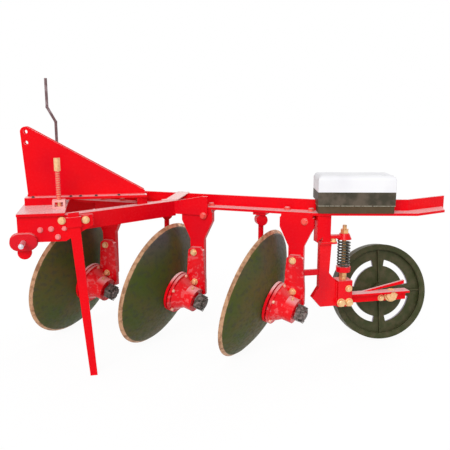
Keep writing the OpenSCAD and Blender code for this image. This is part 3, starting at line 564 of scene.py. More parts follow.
class Finish(Enum):
    """The plough's finishes, each made into a material at its first use."""

    PLATE = Enamel("red_plate_paint", (0.87, 0.002, 0.008), (0.74, 0.001, 0.010), (0.95, 0.16, 0.13))
    CASTING = Enamel("red_cast_paint", (0.88, 0.002, 0.008), (0.66, 0.001, 0.010), (0.96, 0.20, 0.16),
                     top_highlight_share=0.25, **CAST)
    HOUSING = Enamel("red_housing_paint", (0.88, 0.002, 0.008), (0.66, 0.001, 0.010), (0.96, 0.20, 0.16),
                     top_highlight_share=0.62, glint_share=0.12, **CAST)
    COLLAR = Enamel("red_collar_paint", (0.80, 0.002, 0.012), (0.60, 0.001, 0.012), (0.96, 0.20, 0.16),
                    top_highlight_share=0.85, **CAST)
    # Red paint lightened to pale pink by a painted highlight, for the small bolts
    HIGHLIT_RED = Enamel("faded_red_paint", (0.92, 0.27, 0.26), (0.90, 0.15, 0.15), (0.97, 0.52, 0.50))
    # Red paint lightened to pale pink by a painted highlight, for the levelling bracket
    PALE_HIGHLIT = Enamel("pale_red_paint", (0.96, 0.56, 0.52), (0.93, 0.38, 0.37), (0.98, 0.72, 0.68))
    # Red paint lightened nearly to white by a painted highlight, for the brace strap
    WHITE_HIGHLIT = Enamel("bleached_red_paint", (0.96, 0.76, 0.72), (0.94, 0.58, 0.55), (0.98, 0.84, 0.81),
                      top_highlight_share=0.3)
    THREAD = Enamel("red_thread_paint", (0.90, 0.06, 0.09), (0.84, 0.02, 0.03), (0.92, 0.12, 0.14),
                    top_highlight_share=0.3)
    # Red paint lighter than the plate's: partly the bolts' paint, partly a painted highlight
    BOLT = Enamel("red_bolt_paint", (0.92, 0.13, 0.10), (0.90, 0.07, 0.06), (0.97, 0.40, 0.36))
    WELD = Enamel("red_weld_paint", (0.86, 0.002, 0.008), (0.70, 0.001, 0.010), (0.95, 0.18, 0.15),
                  roughness=0.26, ior=1.36, top_highlight_share=0.3)
    LID = Enamel("white_lid_paint", (0.88, 0.88, 0.90), (0.80, 0.79, 0.83), (0.66, 0.65, 0.68),
                 roughness=0.42, ior=1.3, top_highlight_share=0.0, edge_r=3.0 * MM)
    # Colour, colour of the patches, metallic share, roughness and patches to the metre
    PLATED = Metal("yellow_zinc", (0.88, 0.56, 0.28), (0.78, 0.42, 0.20), 0.55, 0.34, 120.0)
    RING = Metal("pale_zinc", (0.94, 0.56, 0.42), (0.86, 0.44, 0.32), 0.45, 0.34, 120.0)
    STRUT = Metal("brown_zinc", (0.80, 0.46, 0.20), (0.26, 0.18, 0.10), 0.55, 0.36, 34.0)
    ZINC = Metal("bright_zinc", (0.82, 0.78, 0.84), (0.66, 0.62, 0.68), 0.7, 0.30, 90.0)
    BARE = Metal("bare_steel", (0.30, 0.27, 0.26), (0.20, 0.16, 0.14), 0.6, 0.42, 50.0)
    DARK = Metal("dark_iron", (0.045, 0.047, 0.040), (0.085, 0.080, 0.075), 0.35, 0.42, 70.0)
    NUT = Metal("grey_nut_iron", (0.080, 0.064, 0.052), (0.28, 0.22, 0.205), 0.35, 0.42, 70.0)
    SPRING = Metal("blued_spring_steel", (0.055, 0.062, 0.050), (0.12, 0.095, 0.07), 0.6, 0.36, 80.0)
    ROD = Metal("browned_rod", (0.15, 0.085, 0.090), (0.30, 0.22, 0.23), 0.45, 0.42, 30.0)

    @property
    def material(self) -> Material:
        """The finish's material, made at its first use."""
        found = bpy.data.materials.get(self.value.name)
        return found or self.value.build()


class Grower:
    """Runs Geometry Nodes trees and turns their results into plain meshes."""

    # Faces round washers, studs and wires, and steps in one turn of a coil
    WASHER_SIDES = 24
    STUD_SIDES = 14
    WIRE_SIDES = 10
    COIL_STEPS = 28
    # Chamfered crown of a head, as shares of its corner radius
    CROWN_BASE = 0.865
    CROWN_TOP = 0.72
    CROWN_RISE = 0.12
    # Sizes of the ripples along a weld
    SWELL = {"Min": 0.82, "Max": 1.12, "Seed": 7}

    def __init__(self) -> None:
        """Builds the trees."""
        self.hex = self._hex_tree()
        self.coil = self._coil_tree()
        self.bead = self._bead_tree()
        self.rib = self._rib_tree()

    @staticmethod
    def _start(name: str, inputs: dict[str, str]) -> tuple[Graph, bpy.types.Node]:
        """Starts a tree.

        Args:
            name: The tree's name.
            inputs: Its inputs, name to kind of socket.

        Returns:
            The graph and its Group Input node.
        """
        tree = bpy.data.node_groups.new(name, "GeometryNodeTree")
        tree.interface.new_socket("Geometry", in_out="INPUT", socket_type="NodeSocketGeometry")
        tree.interface.new_socket("Geometry", in_out="OUTPUT", socket_type="NodeSocketGeometry")
        for key, kind in {**inputs, "Finish": "Material"}.items():
            tree.interface.new_socket(key, in_out="INPUT", socket_type="NodeSocket" + kind)
        graph = Graph(tree)
        return graph, graph.node("NodeGroupInput")

    @staticmethod
    def _end(graph: Graph, given: bpy.types.Node, shape: Socket, smooth: bool) -> Tree:
        """Ends a tree in real geometry with its material.

        Args:
            graph: The graph to end.
            given: Its Group Input node.
            shape: The geometry so far.
            smooth: Whether faces are shaded smooth.

        Returns:
            The finished tree.
        """
        real = graph.out("GeometryNodeRealizeInstances", "Geometry", None, {"Geometry": shape})
        shaded = graph.out("GeometryNodeSetShadeSmooth", "Geometry", None,
                           {"Geometry": real, "Shade Smooth": smooth})
        done = graph.out("GeometryNodeSetMaterial", "Geometry", None,
                         {"Geometry": shaded, "Material": given.outputs["Finish"]})
        graph.node("NodeGroupOutput", None, {"Geometry": done})
        return graph.tree

    def _hex_tree(self) -> Tree:
        """Hexagon heads or nuts on points, turned to each point's facing.

        Returns:
            The tree.
        """
        sizes = ("Corner Radius", "Head Height", "Washer Radius", "Washer Thickness", "Stud Radius",
                 "Stud Length")
        g, given = self._start("hexagon_fasteners", {name: "Float" for name in sizes})
        corner, head, washer_r, washer_t, stud_r, stud_l = (
            Value(g, given.outputs[name]) for name in sizes)

        def lifted(shape: Socket, height: Value) -> Socket:
            """A shape moved up by a height.

            Args:
                shape: The shape.
                height: How far it goes, in metres.

            Returns:
                The moved shape.
            """
            shift = g.out("ShaderNodeCombineXYZ", "Vector", None, {"Z": height})
            return g.out("GeometryNodeTransform", "Geometry", None,
                         {"Geometry": shape, "Translation": shift})

        def drum(sides: int, radius: Value, depth: Value) -> Socket:
            """A prism round the Z axis."""
            return g.out("GeometryNodeMeshCylinder", "Mesh", None,
                         {"Vertices": sides, "Radius": radius, "Depth": depth})

        washer = lifted(drum(self.WASHER_SIDES, washer_r, washer_t), washer_t / 2.0)
        block = lifted(drum(6, corner, head), washer_t + head / 2.0)
        crown = g.out("GeometryNodeMeshCone", "Mesh", None, {
            "Vertices": self.WASHER_SIDES, "Radius Bottom": corner * self.CROWN_BASE,
            "Radius Top": corner * self.CROWN_TOP, "Depth": corner * self.CROWN_RISE})
        crown = lifted(crown, washer_t + head)
        stud = lifted(drum(self.STUD_SIDES, stud_r, head + stud_l), washer_t + (head + stud_l) / 2.0)
        bolt = g.out("GeometryNodeJoinGeometry", "Geometry", None,
                     {"Geometry": [washer, block, crown, stud]})
        facing, spin = (
            g.out("GeometryNodeInputNamedAttribute", "Attribute", {"data_type": kind}, {"Name": name})
            for name, kind in (("facing", "FLOAT_VECTOR"), ("spin", "FLOAT")))
        turn = g.out("FunctionNodeEulerToRotation", "Rotation", None,
                     {"Euler": g.out("ShaderNodeCombineXYZ", "Vector", None, {"Z": spin})})
        aimed = g.out("FunctionNodeAlignRotationToVector", "Rotation", {"axis": "Z"},
                      {"Rotation": turn, "Vector": facing})
        placed = g.out("GeometryNodeInstanceOnPoints", "Instances", None,
                       {"Points": given.outputs["Geometry"], "Instance": bolt, "Rotation": aimed})
        return self._end(g, given, placed, False)

    def _coil_tree(self) -> Tree:
        """A round wire along a helix round the Z axis.

        Returns:
            The tree.
        """
        g, given = self._start("coil", {
            "Turns": "Float", "Radius": "Float", "Height": "Float", "Wire Radius": "Float"})
        path = g.out("GeometryNodeCurveSpiral", "Curve", None, {
            "Resolution": self.COIL_STEPS, "Rotations": given.outputs["Turns"],
            "Start Radius": given.outputs["Radius"], "End Radius": given.outputs["Radius"],
            "Height": given.outputs["Height"]})
        section = g.out("GeometryNodeCurvePrimitiveCircle", "Curve", {"mode": "RADIUS"},
                        {"Resolution": self.WIRE_SIDES, "Radius": given.outputs["Wire Radius"]})
        wire = g.out("GeometryNodeCurveToMesh", "Mesh", None,
                     {"Curve": path, "Profile Curve": section, "Fill Caps": True})
        return self._end(g, given, wire, True)

    def _bead_tree(self) -> Tree:
        """Weld ripples along the edges of a wire mesh.

        Returns:
            The tree.
        """
        g, given = self._start("weld_bead", {"Bead Radius": "Float", "Pitch": "Float"})
        path = g.out("GeometryNodeMeshToCurve", "Curve", None, {"Mesh": given.outputs["Geometry"]})
        steps = g.out("GeometryNodeResampleCurve", "Curve", {"mode": "LENGTH"},
                      {"Curve": path, "Length": given.outputs["Pitch"]})
        ripple = g.out("GeometryNodeMeshIcoSphere", "Mesh", None,
                       {"Radius": given.outputs["Bead Radius"], "Subdivisions": 2})
        swell = g.out("FunctionNodeRandomValue", "Value", {"data_type": "FLOAT"}, self.SWELL)
        placed = g.out("GeometryNodeInstanceOnPoints", "Instances", None,
                       {"Points": steps, "Instance": ripple, "Scale": swell})
        return self._end(g, given, placed, True)

    def _rib_tree(self) -> Tree:
        """Flat bars that stand out from the Z axis, evenly round it.

        Returns:
            The tree.
        """
        g, given = self._start("radial_ribs", {
            "Count": "Int", "Inner Radius": "Float", "Outer Radius": "Float", "Width": "Float",
            "Height": "Float"})
        inner, outer = (Value(g, given.outputs[name]) for name in ("Inner Radius", "Outer Radius"))
        ring = g.out("GeometryNodeMeshCircle", "Mesh", None,
                     {"Vertices": given.outputs["Count"], "Radius": (inner + outer) / 2.0})
        size = g.out("ShaderNodeCombineXYZ", "Vector", None,
                     {"X": outer - inner, "Y": given.outputs["Width"], "Z": given.outputs["Height"]})
        bar = g.out("GeometryNodeMeshCube", "Mesh", None, {"Size": size})
        aimed = g.out("FunctionNodeAlignRotationToVector", "Rotation", {"axis": "X"},
                      {"Vector": g.out("GeometryNodeInputPosition", "Position")})
        placed = g.out("GeometryNodeInstanceOnPoints", "Instances", None,
                       {"Points": ring, "Instance": bar, "Rotation": aimed})
        return self._end(g, given, placed, False)

    @staticmethod
    def run(name: str, tree: Tree, start: Mesh, inputs: dict[str, object],
            place: Matrix | None = None) -> Piece:
        """Runs a tree on a mesh.

        Args:
            name: The new object's name.
            tree: The tree to run.
            start: The mesh that it starts from.
            inputs: The tree's named inputs.
            place: Where the result goes, if it was made round the origin.

        Returns:
            A plain mesh object at the origin.
        """
        source = bpy.data.objects.new(name + "_source", start)
        bpy.context.scene.collection.objects.link(source)
        modifier = source.modifiers.new("grow", "NODES")
        modifier.node_group = tree
        keys = {s.name: s.identifier for s in tree.interface.items_tree if s.in_out == "INPUT"}
        for key, value in inputs.items():
            modifier[keys[key]] = value
        bpy.context.view_layer.update()
        shape = source.evaluated_get(bpy.context.evaluated_depsgraph_get())
        mesh = bpy.data.meshes.new_from_object(shape)
        mesh.name = name
        bpy.data.objects.remove(source)
        if place is not None:
            mesh.transform(place)
        return link_mesh(name, mesh)


def link_mesh(name: str, mesh: Mesh) -> Piece:
    """Puts a mesh into the scene.

    Args:
        name: The object's name.
        mesh: Its mesh, in place.

    Returns:
        The object, at the origin.
    """
    made = bpy.data.objects.new(name, mesh)
    bpy.context.scene.collection.objects.link(made)
    return made


def settle(piece: Piece, body: str) -> Piece:
    """Gives a piece its body, and reports it.

    Args:
        piece: A finished piece.
        body: The body that it moves with.

    Returns:
        The piece.
    """
    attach(piece, body)
    LOG.info("%s: %d faces on %s", piece.name, len(piece.data.polygons), body)
    return piece


def point_mesh(name: str, points: Sequence[Vector], edges: Sequence[tuple[int, int]] = ()) -> Mesh:
    """A mesh of loose points or wires.

    Args:
        name: The mesh's name.
        points: Its points in metres.
        edges: Pairs of points that a wire joins.

    Returns:
        The mesh.
    """
    mesh = bpy.data.meshes.new(name)
    mesh.from_pydata([tuple(p) for p in points], list(edges), [])
    return mesh


def lathe(name: str, profile: Sequence[tuple[float, float]], place: Matrix, finish: Material,
          steps: int) -> Mesh:
    """Turns a profile round the Z axis.

    Args:
        name: The mesh's name.
        profile: Radius and height of each point in metres, closed from last to first unless both
            lie on the axis.
        place: Where the turned shape goes.
        finish: Its material.
        steps: Faces round the axis.

    Returns:
        The mesh, in place.
    """
    form = bmesh.new()
    rings = []
    for step in range(steps):
        angle = 2.0 * math.pi * step / steps
        rings.append([form.verts.new((r * math.cos(angle), r * math.sin(angle), z)) for r, z in profile])
    count = len(profile)
    open_ends = profile[0][0] == 0.0 and profile[-1][0] == 0.0
    for step in range(steps):
        here, there = rings[step], rings[(step + 1) % steps]
        for k in range(count - 1 if open_ends else count):
            form.faces.new((here[k], there[k], there[(k + 1) % count], here[(k + 1) % count]))
    bmesh.ops.remove_doubles(form, verts=form.verts, dist=1e-6)
    bmesh.ops.recalc_face_normals(form, faces=form.faces)
    mesh = bpy.data.meshes.new(name)
    form.to_mesh(mesh)
    form.free()
    mesh.transform(place)
    mesh.materials.append(finish)
    return mesh


def joined(name: str, meshes: Sequence[Mesh]) -> Piece:
    """One object from several meshes of the same material.

    Args:
        name: The object's name.
        meshes: The meshes, in place.

    Returns:
        The object, at the origin.
    """
    form = bmesh.new()
    for mesh in meshes:
        form.from_mesh(mesh)
    whole = bpy.data.meshes.new(name)
    form.to_mesh(whole)
    form.free()
    whole.materials.append(meshes[0].materials[0])
    return link_mesh(name, whole)


def aimed(place: Vector, facing: Vector) -> Matrix:
    """The matrix that sets a shape on a point with its Z axis along facing."""
    return Matrix.Translation(place) @ facing.to_track_quat("Z", "Y").to_matrix().to_4x4()


def paint_node(node: str, material: Material) -> None:
    """Gives a CAD node one material.

    Args:
        node: The node's name.
        material: Its material.
    """
    slots = FRAME["nodes"][node].data.materials
    slots.clear()
    slots.append(material)


def tube(name: str, path: Sequence[Vector], radius: float, finish: Material) -> Piece:
    """A round wire along a path.

    Args:
        name: The object's name.
        path: Points in metres.
        radius: The wire's radius in metres.
        finish: Its material.

    Returns:
        A plain mesh object at the origin.
    """
    curve = bpy.data.curves.new(name + "_path", "CURVE")
    curve.dimensions = "3D"
    curve.bevel_depth = radius
    curve.bevel_resolution = 3
    curve.use_fill_caps = True
    spline = curve.splines.new("POLY")
    spline.points.add(len(path) - 1)
    for point, place in zip(spline.points, path):
        point.co = (*place, 1.0)
    source = bpy.data.objects.new(name + "_source", curve)
    bpy.context.scene.collection.objects.link(source)
    bpy.context.view_layer.update()
    mesh = bpy.data.meshes.new_from_object(source.evaluated_get(bpy.context.evaluated_depsgraph_get()))
    bpy.data.objects.remove(source)
    mesh.materials.clear()
    mesh.materials.append(finish)
    return link_mesh(name, mesh)


@dataclass(frozen=True)
class HexSize:
    """Sizes of one kind of hexagon fastener, in millimetres."""

    corner_r: float
    head_h: float
    washer_r: float
    washer_t: float
    stud_r: float = 4.0
    stud_l: float = 0.0

    def inputs(self, finish: Material) -> dict[str, object]:
        """The tree's inputs, in metres.

        Args:
            finish: The fasteners' material.

        Returns:
            Each input by its name.
        """
        sizes = {
            "Corner Radius": self.corner_r, "Head Height": self.head_h, "Washer Radius": self.washer_r,
            "Washer Thickness": self.washer_t, "Stud Radius": self.stud_r, "Stud Length": self.stud_l}
        return {**{key: value * MM for key, value in sizes.items()}, "Finish": finish}


class Hex(Enum):
    """Kinds of hexagon fastener on the plough."""

    TINY = HexSize(6.5, 4.5, 7.5, 1.5, 3.0)
    SMALL = HexSize(10.0, 7.0, 12.5, 2.5)
    MAIN = HexSize(14.0, 10.0, 17.0, 3.0)
    LARGE = HexSize(18.0, 12.0, 21.0, 4.0)
    AXLE = HexSize(30.0, 16.0, 34.0, 4.0, 10.0, 8.0)
    FLANGE = HexSize(7.5, 7.0, 8.5, 1.5)
    NUT = HexSize(13.5, 11.0, 17.0, 3.0, 7.5, 6.0)


@dataclass
class FastenerSet:
    """Hexagon fasteners of one kind on one body."""

    name: str
    kind: Hex
    body: str
    slot: str
    finish: Finish
    spin_step: float = 0.7
    places: list[tuple[Vector, Vector]] = field(default_factory=list)

    def add(self, facing: Vector, *points: Vector) -> None:
        """Adds fasteners that stand out along facing."""
        self.places.extend((point, facing) for point in points)

    def build(self, grower: Grower) -> Piece:
        """Makes the set as one piece.

        Args:
            grower: Holds the trees.

        Returns:
            The piece.
        """
        mesh = point_mesh(self.name, [point for point, _ in self.places])
        mesh.attributes.new("facing", "FLOAT_VECTOR", "POINT")
        mesh.attributes.new("spin", "FLOAT", "POINT")
        for index, (_, way) in enumerate(self.places):
            mesh.attributes["facing"].data[index].vector = way
            mesh.attributes["spin"].data[index].value = self.spin_step * index
        piece = grower.run(self.name, grower.hex, mesh, self.kind.value.inputs(self.finish.material))
        return settle(piece, self.body)


@dataclass
class Seams:
    """Weld beads that join the red plates, with sizes in millimetres."""

    bead_r: float = 3.4
    pitch: float = 3.2
    points: list[Vector] = field(default_factory=list)
    edges: list[tuple[int, int]] = field(default_factory=list)

    def path(self, points: Sequence[Vector]) -> None:
        """Adds a bead through the points.

        Args:
            points: Points in metres, from start to end.
        """
        first = len(self.points)
        self.points.extend(points)
        self.edges.extend((first + k, first + k + 1) for k in range(len(points) - 1))

    def line(self, start: Vector, end: Vector) -> None:
        """Adds a straight bead."""
        self.path((start, end))

    def build(self, grower: Grower) -> None:
        """Makes all beads as one piece on the frame.

        Args:
            grower: Holds the trees.
        """
        mesh = point_mesh("weld_seams", self.points, self.edges)
        piece = grower.run("weld_seams", grower.bead, mesh, {
            "Bead Radius": self.bead_r * MM, "Pitch": self.pitch * MM, "Finish": Finish.WELD.material})
        settle(piece, "frame")


@dataclass
class Headstock:
    """Hitch head with mast, plates, levelling screw and stand strap, in millimetres."""

    # X and Z of the side plates' bolts, X of the foot screws and the place of the strap's bolts
    plate_bolts: tuple[tuple[float, float], ...] = (
        (-908.0, 688.0), (-862.0, 691.0), (-835.0, 654.0), (-806.0, 693.0))
    foot_bolts: tuple[float, ...] = (-955.0, -784.0, -739.0, -667.0, -560.0)
    strap_bolt_x: tuple[float, float] = (-815.0, -714.0)
    strap_bolt_z: float = 727.0
    strap_face_y: float = -325.0
    screw_row: float = 12.0
    # Weld seams
    tail_h: float = 48.0
    mast_seam_front: float = 30.0
    mast_seam_rear: float = 10.0
    top_seam_inset: float = 4.0
    collar_steps: int = 36
    # Thread of the levelling screw
    thread_low: float = 804.0
    thread_high: float = 928.0
    thread_pitch: float = 8.0
    thread_r: float = 9.0
    thread_wire_r: float = 2.8

    def build(self, grower: Grower, main: FastenerSet, small: FastenerSet, tiny: FastenerSet,
              seams: Seams) -> None:
        """Adds the head's fasteners, seams and thread.

        Args:
            grower: Holds the trees.
            main: Set for the main bolts.
            small: Set for the small bolts.
            tiny: Set for the dark screws of the mast's feet.
            seams: Collects the weld lines.
        """
        plate_low, plate_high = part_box("headstock_left_plate")
        _, far_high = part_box("headstock_right_plate")
        for x, z in self.plate_bolts:
            small.add(NEAR, Vector((x * MM, plate_low.y, z * MM)))
            small.add(-NEAR, Vector((x * MM, far_high.y, z * MM)))
        main.add(NEAR, *(mm(x, self.strap_face_y, self.strap_bolt_z) for x in self.strap_bolt_x))
        for side in ("left", "right"):
            low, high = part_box("mast_foot_" + side)
            row = low.y + self.screw_row * MM if side == "left" else high.y - self.screw_row * MM
            tiny.add(UP, *(Vector((x * MM, row, high.z)) for x in self.foot_bolts))
            mast_low, mast_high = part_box("mast_plate_" + side)
            face = mast_low.y if side == "left" else mast_high.y
            start = Vector((mast_low.x + self.mast_seam_front * MM, face, high.z))
            seams.line(start, Vector((mast_high.x - self.mast_seam_rear * MM, face, high.z)))
        top_low, top_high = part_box("headstock_top_plate")
        inset = self.top_seam_inset * MM
        for y in (plate_low.y, far_high.y):
            start = Vector((top_low.x + inset, y, top_low.z))
            seams.line(start, Vector((top_high.x - inset, y, top_low.z)))
        for side in ("left", "right"):
            self._collar_seam(side, seams)
        tail = Vector((plate_high.x, plate_high.y, top_low.z))
        seams.line(tail + self.tail_h * MM * DOWN, tail)
        self._thread(grower)

    def _collar_seam(self, side: str, seams: Seams) -> None:
        """Runs a weld round one oval collar, where it meets its side plate.

        Args:
            side: left or right.
            seams: Collects the weld lines.
        """
        low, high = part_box("hitch_collar_" + side)
        face = high.y if side == "left" else low.y
        radius = (high.z - low.z) / 2.0
        centre_z = (high.z + low.z) / 2.0
        loop = []
        for step in range(self.collar_steps):
            angle = 2.0 * math.pi * step / self.collar_steps
            along = radius * math.cos(angle)
            rise = radius * math.sin(angle)
            end = high.x - radius if along >= 0.0 else low.x + radius
            loop.append(Vector((end + along, face, centre_z + rise)))
        seams.path([*loop, loop[0]])

    def _thread(self, grower: Grower) -> None:
        """Cuts the levelling screw's thread as a fine coil on its shank.

        Args:
            grower: Holds the trees.
        """
        low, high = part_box("levelling_screw")
        base = Vector(((low.x + high.x) / 2.0, (low.y + high.y) / 2.0, self.thread_low * MM))
        height = (self.thread_high - self.thread_low) * MM
        inputs = {"Turns": height / MM / self.thread_pitch, "Radius": self.thread_r * MM,
                  "Height": height, "Wire Radius": self.thread_wire_r * MM,
                  "Finish": Finish.THREAD.material}
        piece = grower.run("levelling_thread", grower.coil, bpy.data.meshes.new("thread_start"), inputs,
                           Matrix.Translation(base))
        settle(piece, "frame")


@dataclass
class BraceStrap:
    """Bent strap that ties the side brace to the top of the beam's upright leg, in millimetres."""

    # Turn of the side brace, from its run in Y and in X
    brace_angle: float = math.atan2(379.6, 619.0)
    leg_w: float = 56.0
    lap: float = 30.0
    ramp: float = 75.0
    beam_t: float = 12.0
    thick: float = 6.0
    edge_r: float = 1.0

    def build(self) -> None:
        """Bends the strap up from the brace's level leg and over the beam's edge."""
        _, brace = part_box("side_brace")
        _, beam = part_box("main_beam")
        cut = self.leg_w * MM / math.sin(BEAM_ANGLE + self.brace_angle)
        far = Vector((brace.x - cut * math.cos(BEAM_ANGLE), brace.y, 0.0))
        near = Vector((brace.x, brace.y - cut * math.sin(BEAM_ANGLE), 0.0))
        back = -MM * Vector((math.cos(self.brace_angle), math.sin(self.brace_angle), 0.0))
        over = MM * Vector((math.sin(BEAM_ANGLE), math.cos(BEAM_ANGLE), 0.0))
        stations = (((self.ramp + self.lap) * back, brace.z), (self.ramp * back, brace.z),
                    (Vector(), beam.z), (self.beam_t * over, beam.z))
        form = bmesh.new()
        rings = []
        for shift, z in stations:
            heights = ((far, z), (near, z), (near, z + self.thick * MM), (far, z + self.thick * MM))
            rings.append([form.verts.new(corner + shift + height * UP) for corner, height in heights])
        for here, there in zip(rings, rings[1:]):
            for k in range(4):
                form.faces.new((here[k], there[k], there[(k + 1) % 4], here[(k + 1) % 4]))
        form.faces.new(rings[0])
        form.faces.new(rings[-1])
        bmesh.ops.recalc_face_normals(form, faces=form.faces)
        bmesh.ops.bevel(form, geom=form.edges, offset=self.edge_r * MM, segments=2, affect="EDGES")
        mesh = bpy.data.meshes.new("brace_strap")
        form.to_mesh(mesh)
        form.free()
        # The strap's red paint is lightened nearly to white by a painted highlight
        mesh.materials.append(Finish.WHITE_HIGHLIT.material)
        settle(link_mesh("brace_strap", mesh), "frame")


@dataclass
class Furrow:
    """One disc with its hub, bearing bracket and standard, in millimetres."""

    number: int
    # The standard's face from the disc's centre, along the beam and across it
    standard_x: float = 189.07
    standard_y: float = 39.0
    standard_t: float = 30.0
    seam_half: float = 70.0
    bracket_t: float = 24.0
    # Bolts on the standard: along the beam and up, or along and across for those through the flange
    bracket_bolts: tuple[tuple[float, float], ...] = ((-10.0, 496.0), (-6.0, 343.0))
    shield_bolt: tuple[float, float] = (38.0, 684.0)
    shield_t: float = 10.0
    flange_bolts: tuple[tuple[float, float], ...] = ((-58.0, 52.0), (58.0, 52.0))
    beam_floor: float = 727.06
    flange_low: float = 701.06
    # Lengths behind the rim plane, with sizes round the disc's axis
    bowl_l: float = 88.23
    bowl_bolt_r: float = 58.0
    bowl_bolts: int = 5
    bowl_bolt_sides: int = 18
    housing_mid: float = 127.23
    ring_r: float = 94.5
    ring_bolts: int = 5
    ring_turn: float = math.radians(66.0)
    housing_r: float = 60.0
    nipple_l: float = 196.0
    nipple_turn: float = 0.35
    nipple_sink: float = 1.0
    nipple_sides: int = 16
    nut_l: float = 229.23
    nut_hex_h: float = 22.8
    nut_h: float = 38.0
    nut_r: float = 38.1
    pin_r: float = 2.6
    disc_r: float = 330.0

    def __post_init__(self) -> None:
        """Reads the disc's axis from the frame."""
        joint = next(j for j in FRAME["joints"] if j["name"] == f"disc_{self.number}_spin")
        self.centre = Vector(joint["pos_m"])
        self.axis = Vector(joint["axis"]).normalized()
        self.side = self.axis.cross(UP).normalized()
        self.rise = self.side.cross(self.axis).normalized()
        self.body = f"disc_{self.number}"
        self.along = Vector((math.cos(BEAM_ANGLE), -math.sin(BEAM_ANGLE), 0.0))
        self.across = Vector((math.sin(BEAM_ANGLE), math.cos(BEAM_ANGLE), 0.0))

    def on_axis(self, length: float, radius: float = 0.0, angle: float = 0.0) -> Vector:
        """A point near the disc's axis.

        Args:
            length: Distance behind the rim plane in millimetres.
            radius: Distance from the axis in millimetres.
            angle: Angle round the axis from its upper side, in radians.

        Returns:
            The point in metres.
        """
        out = math.cos(angle) * self.rise + math.sin(angle) * self.side
        return self.centre + length * MM * self.axis + radius * MM * out

    def on_standard(self, x: float, y: float, z: float) -> Vector:
        """A point in the standard's own directions, given in millimetres.

        Args:
            x: Distance along the beam.
            y: Distance across it, from the standard's face.
            z: Height above the ground.

        Returns:
            The point in metres.
        """
        flat = Vector((self.centre.x, self.centre.y, 0.0))
        shift = (self.standard_x + x) * self.along + (self.standard_y + y) * self.across + z * UP
        return flat + MM * shift

    def dress(self) -> None:
        """Gives the blade its steel, and the bracket and nut their finishes."""
        blade = Blade(f"disc_steel_{self.number}", self.centre, self.axis, self.disc_r * MM)
        paint_node(f"disc_blade_{self.number}", blade.build())
        paint_node(f"bearing_bracket_{self.number}", Finish.HOUSING.material)
        paint_node(f"castle_nut_{self.number}", Finish.NUT.material)

    def build(self, main: FastenerSet, painted: FastenerSet, nuts: FastenerSet, ring: FastenerSet,
              seams: Seams) -> None:
        """Adds the furrow's fasteners, seam, split pin and grease nipple.

        Args:
            main: Set for the plated bolts.
            painted: Set for the bolts of the standard, painted over.
            nuts: Set for nuts under the beam.
            ring: Set for the bolts of the housing flange.
            seams: Collects the weld lines.
        """
        near = -self.across
        main.add(near, *(self.on_standard(x, -self.bracket_t, z) for x, z in self.bracket_bolts))
        # The joint plate covers the second standard
        cover = self.shield_t if self.number == 2 else 0.0
        painted.add(near, self.on_standard(self.shield_bolt[0], -cover, self.shield_bolt[1]))
        for x, y in self.flange_bolts:
            painted.add(UP, self.on_standard(x, y, self.beam_floor))
            nuts.add(DOWN, self.on_standard(x, y, self.flange_low))
        ends = (-self.seam_half, self.seam_half)
        seams.path([self.on_standard(x, self.standard_t, self.flange_low) for x in ends])
        step = 2.0 * math.pi / self.ring_bolts
        turns = (self.ring_turn + k * step for k in range(self.ring_bolts))
        ring.add(self.axis, *(self.on_axis(self.housing_mid, self.ring_r, turn) for turn in turns))
        self._bowl_bolts()
        self._split_pin()
        self._nipple()

    def _bowl_bolts(self) -> None:
        """Makes the round-headed bolts that hold the blade to its hub, inside the bowl."""
        # Radius and height from the crown down to the blade
        dome = [(0.0, 5.5), (5.0, 5.2), (9.5, 3.8), (12.5, 1.6), (13.0, 0.0), (0.0, 0.0)]
        profile = [(r * MM, z * MM) for r, z in dome]
        turns = [2.0 * math.pi * k / self.bowl_bolts for k in range(self.bowl_bolts)]
        places = [aimed(self.on_axis(self.bowl_l, self.bowl_bolt_r, turn), -self.axis) for turn in turns]
        meshes = [lathe("bowl_bolt", profile, place, Finish.ROD.material, self.bowl_bolt_sides)
                  for place in places]
        settle(joined(f"bowl_bolts_{self.number}", meshes), self.body)

    def _split_pin(self) -> None:
        """Bends a split pin through two slots of the castle nut."""
        height = self.nut_l + (self.nut_hex_h + self.nut_h) / 2.0
        # Rise above the slot, distance past the nut's corner and angle round it
        route = ((0.0, 6.0, 0.0), (0.0, -6.0, 0.0), (0.0, 3.0, math.pi), (9.0, 4.0, math.pi),
                 (14.0, -12.0, math.pi))
        path = [self.on_axis(height + rise, self.nut_r + out, angle) for rise, out, angle in route]
        piece = tube(f"split_pin_{self.number}", path, self.pin_r * MM, Finish.BARE.material)
        settle(piece, self.body)

    def _nipple(self) -> None:
        """Screws a grease nipple into the housing's upper side."""
        # Radius and height from the housing up
        turned = [(0.0, 0.0), (6.0, 0.0), (6.0, 5.0), (3.2, 6.0), (3.2, 9.0), (4.4, 11.0), (3.4, 13.5),
                  (0.0, 14.0)]
        seat = self.on_axis(self.nipple_l, self.housing_r - self.nipple_sink, self.nipple_turn)
        mesh = lathe("nipple", [(r * MM, z * MM) for r, z in turned], aimed(seat, self.rise),
                     Finish.PLATED.material, self.nipple_sides)
        settle(link_mesh(f"grease_nipple_{self.number}", mesh), "frame")


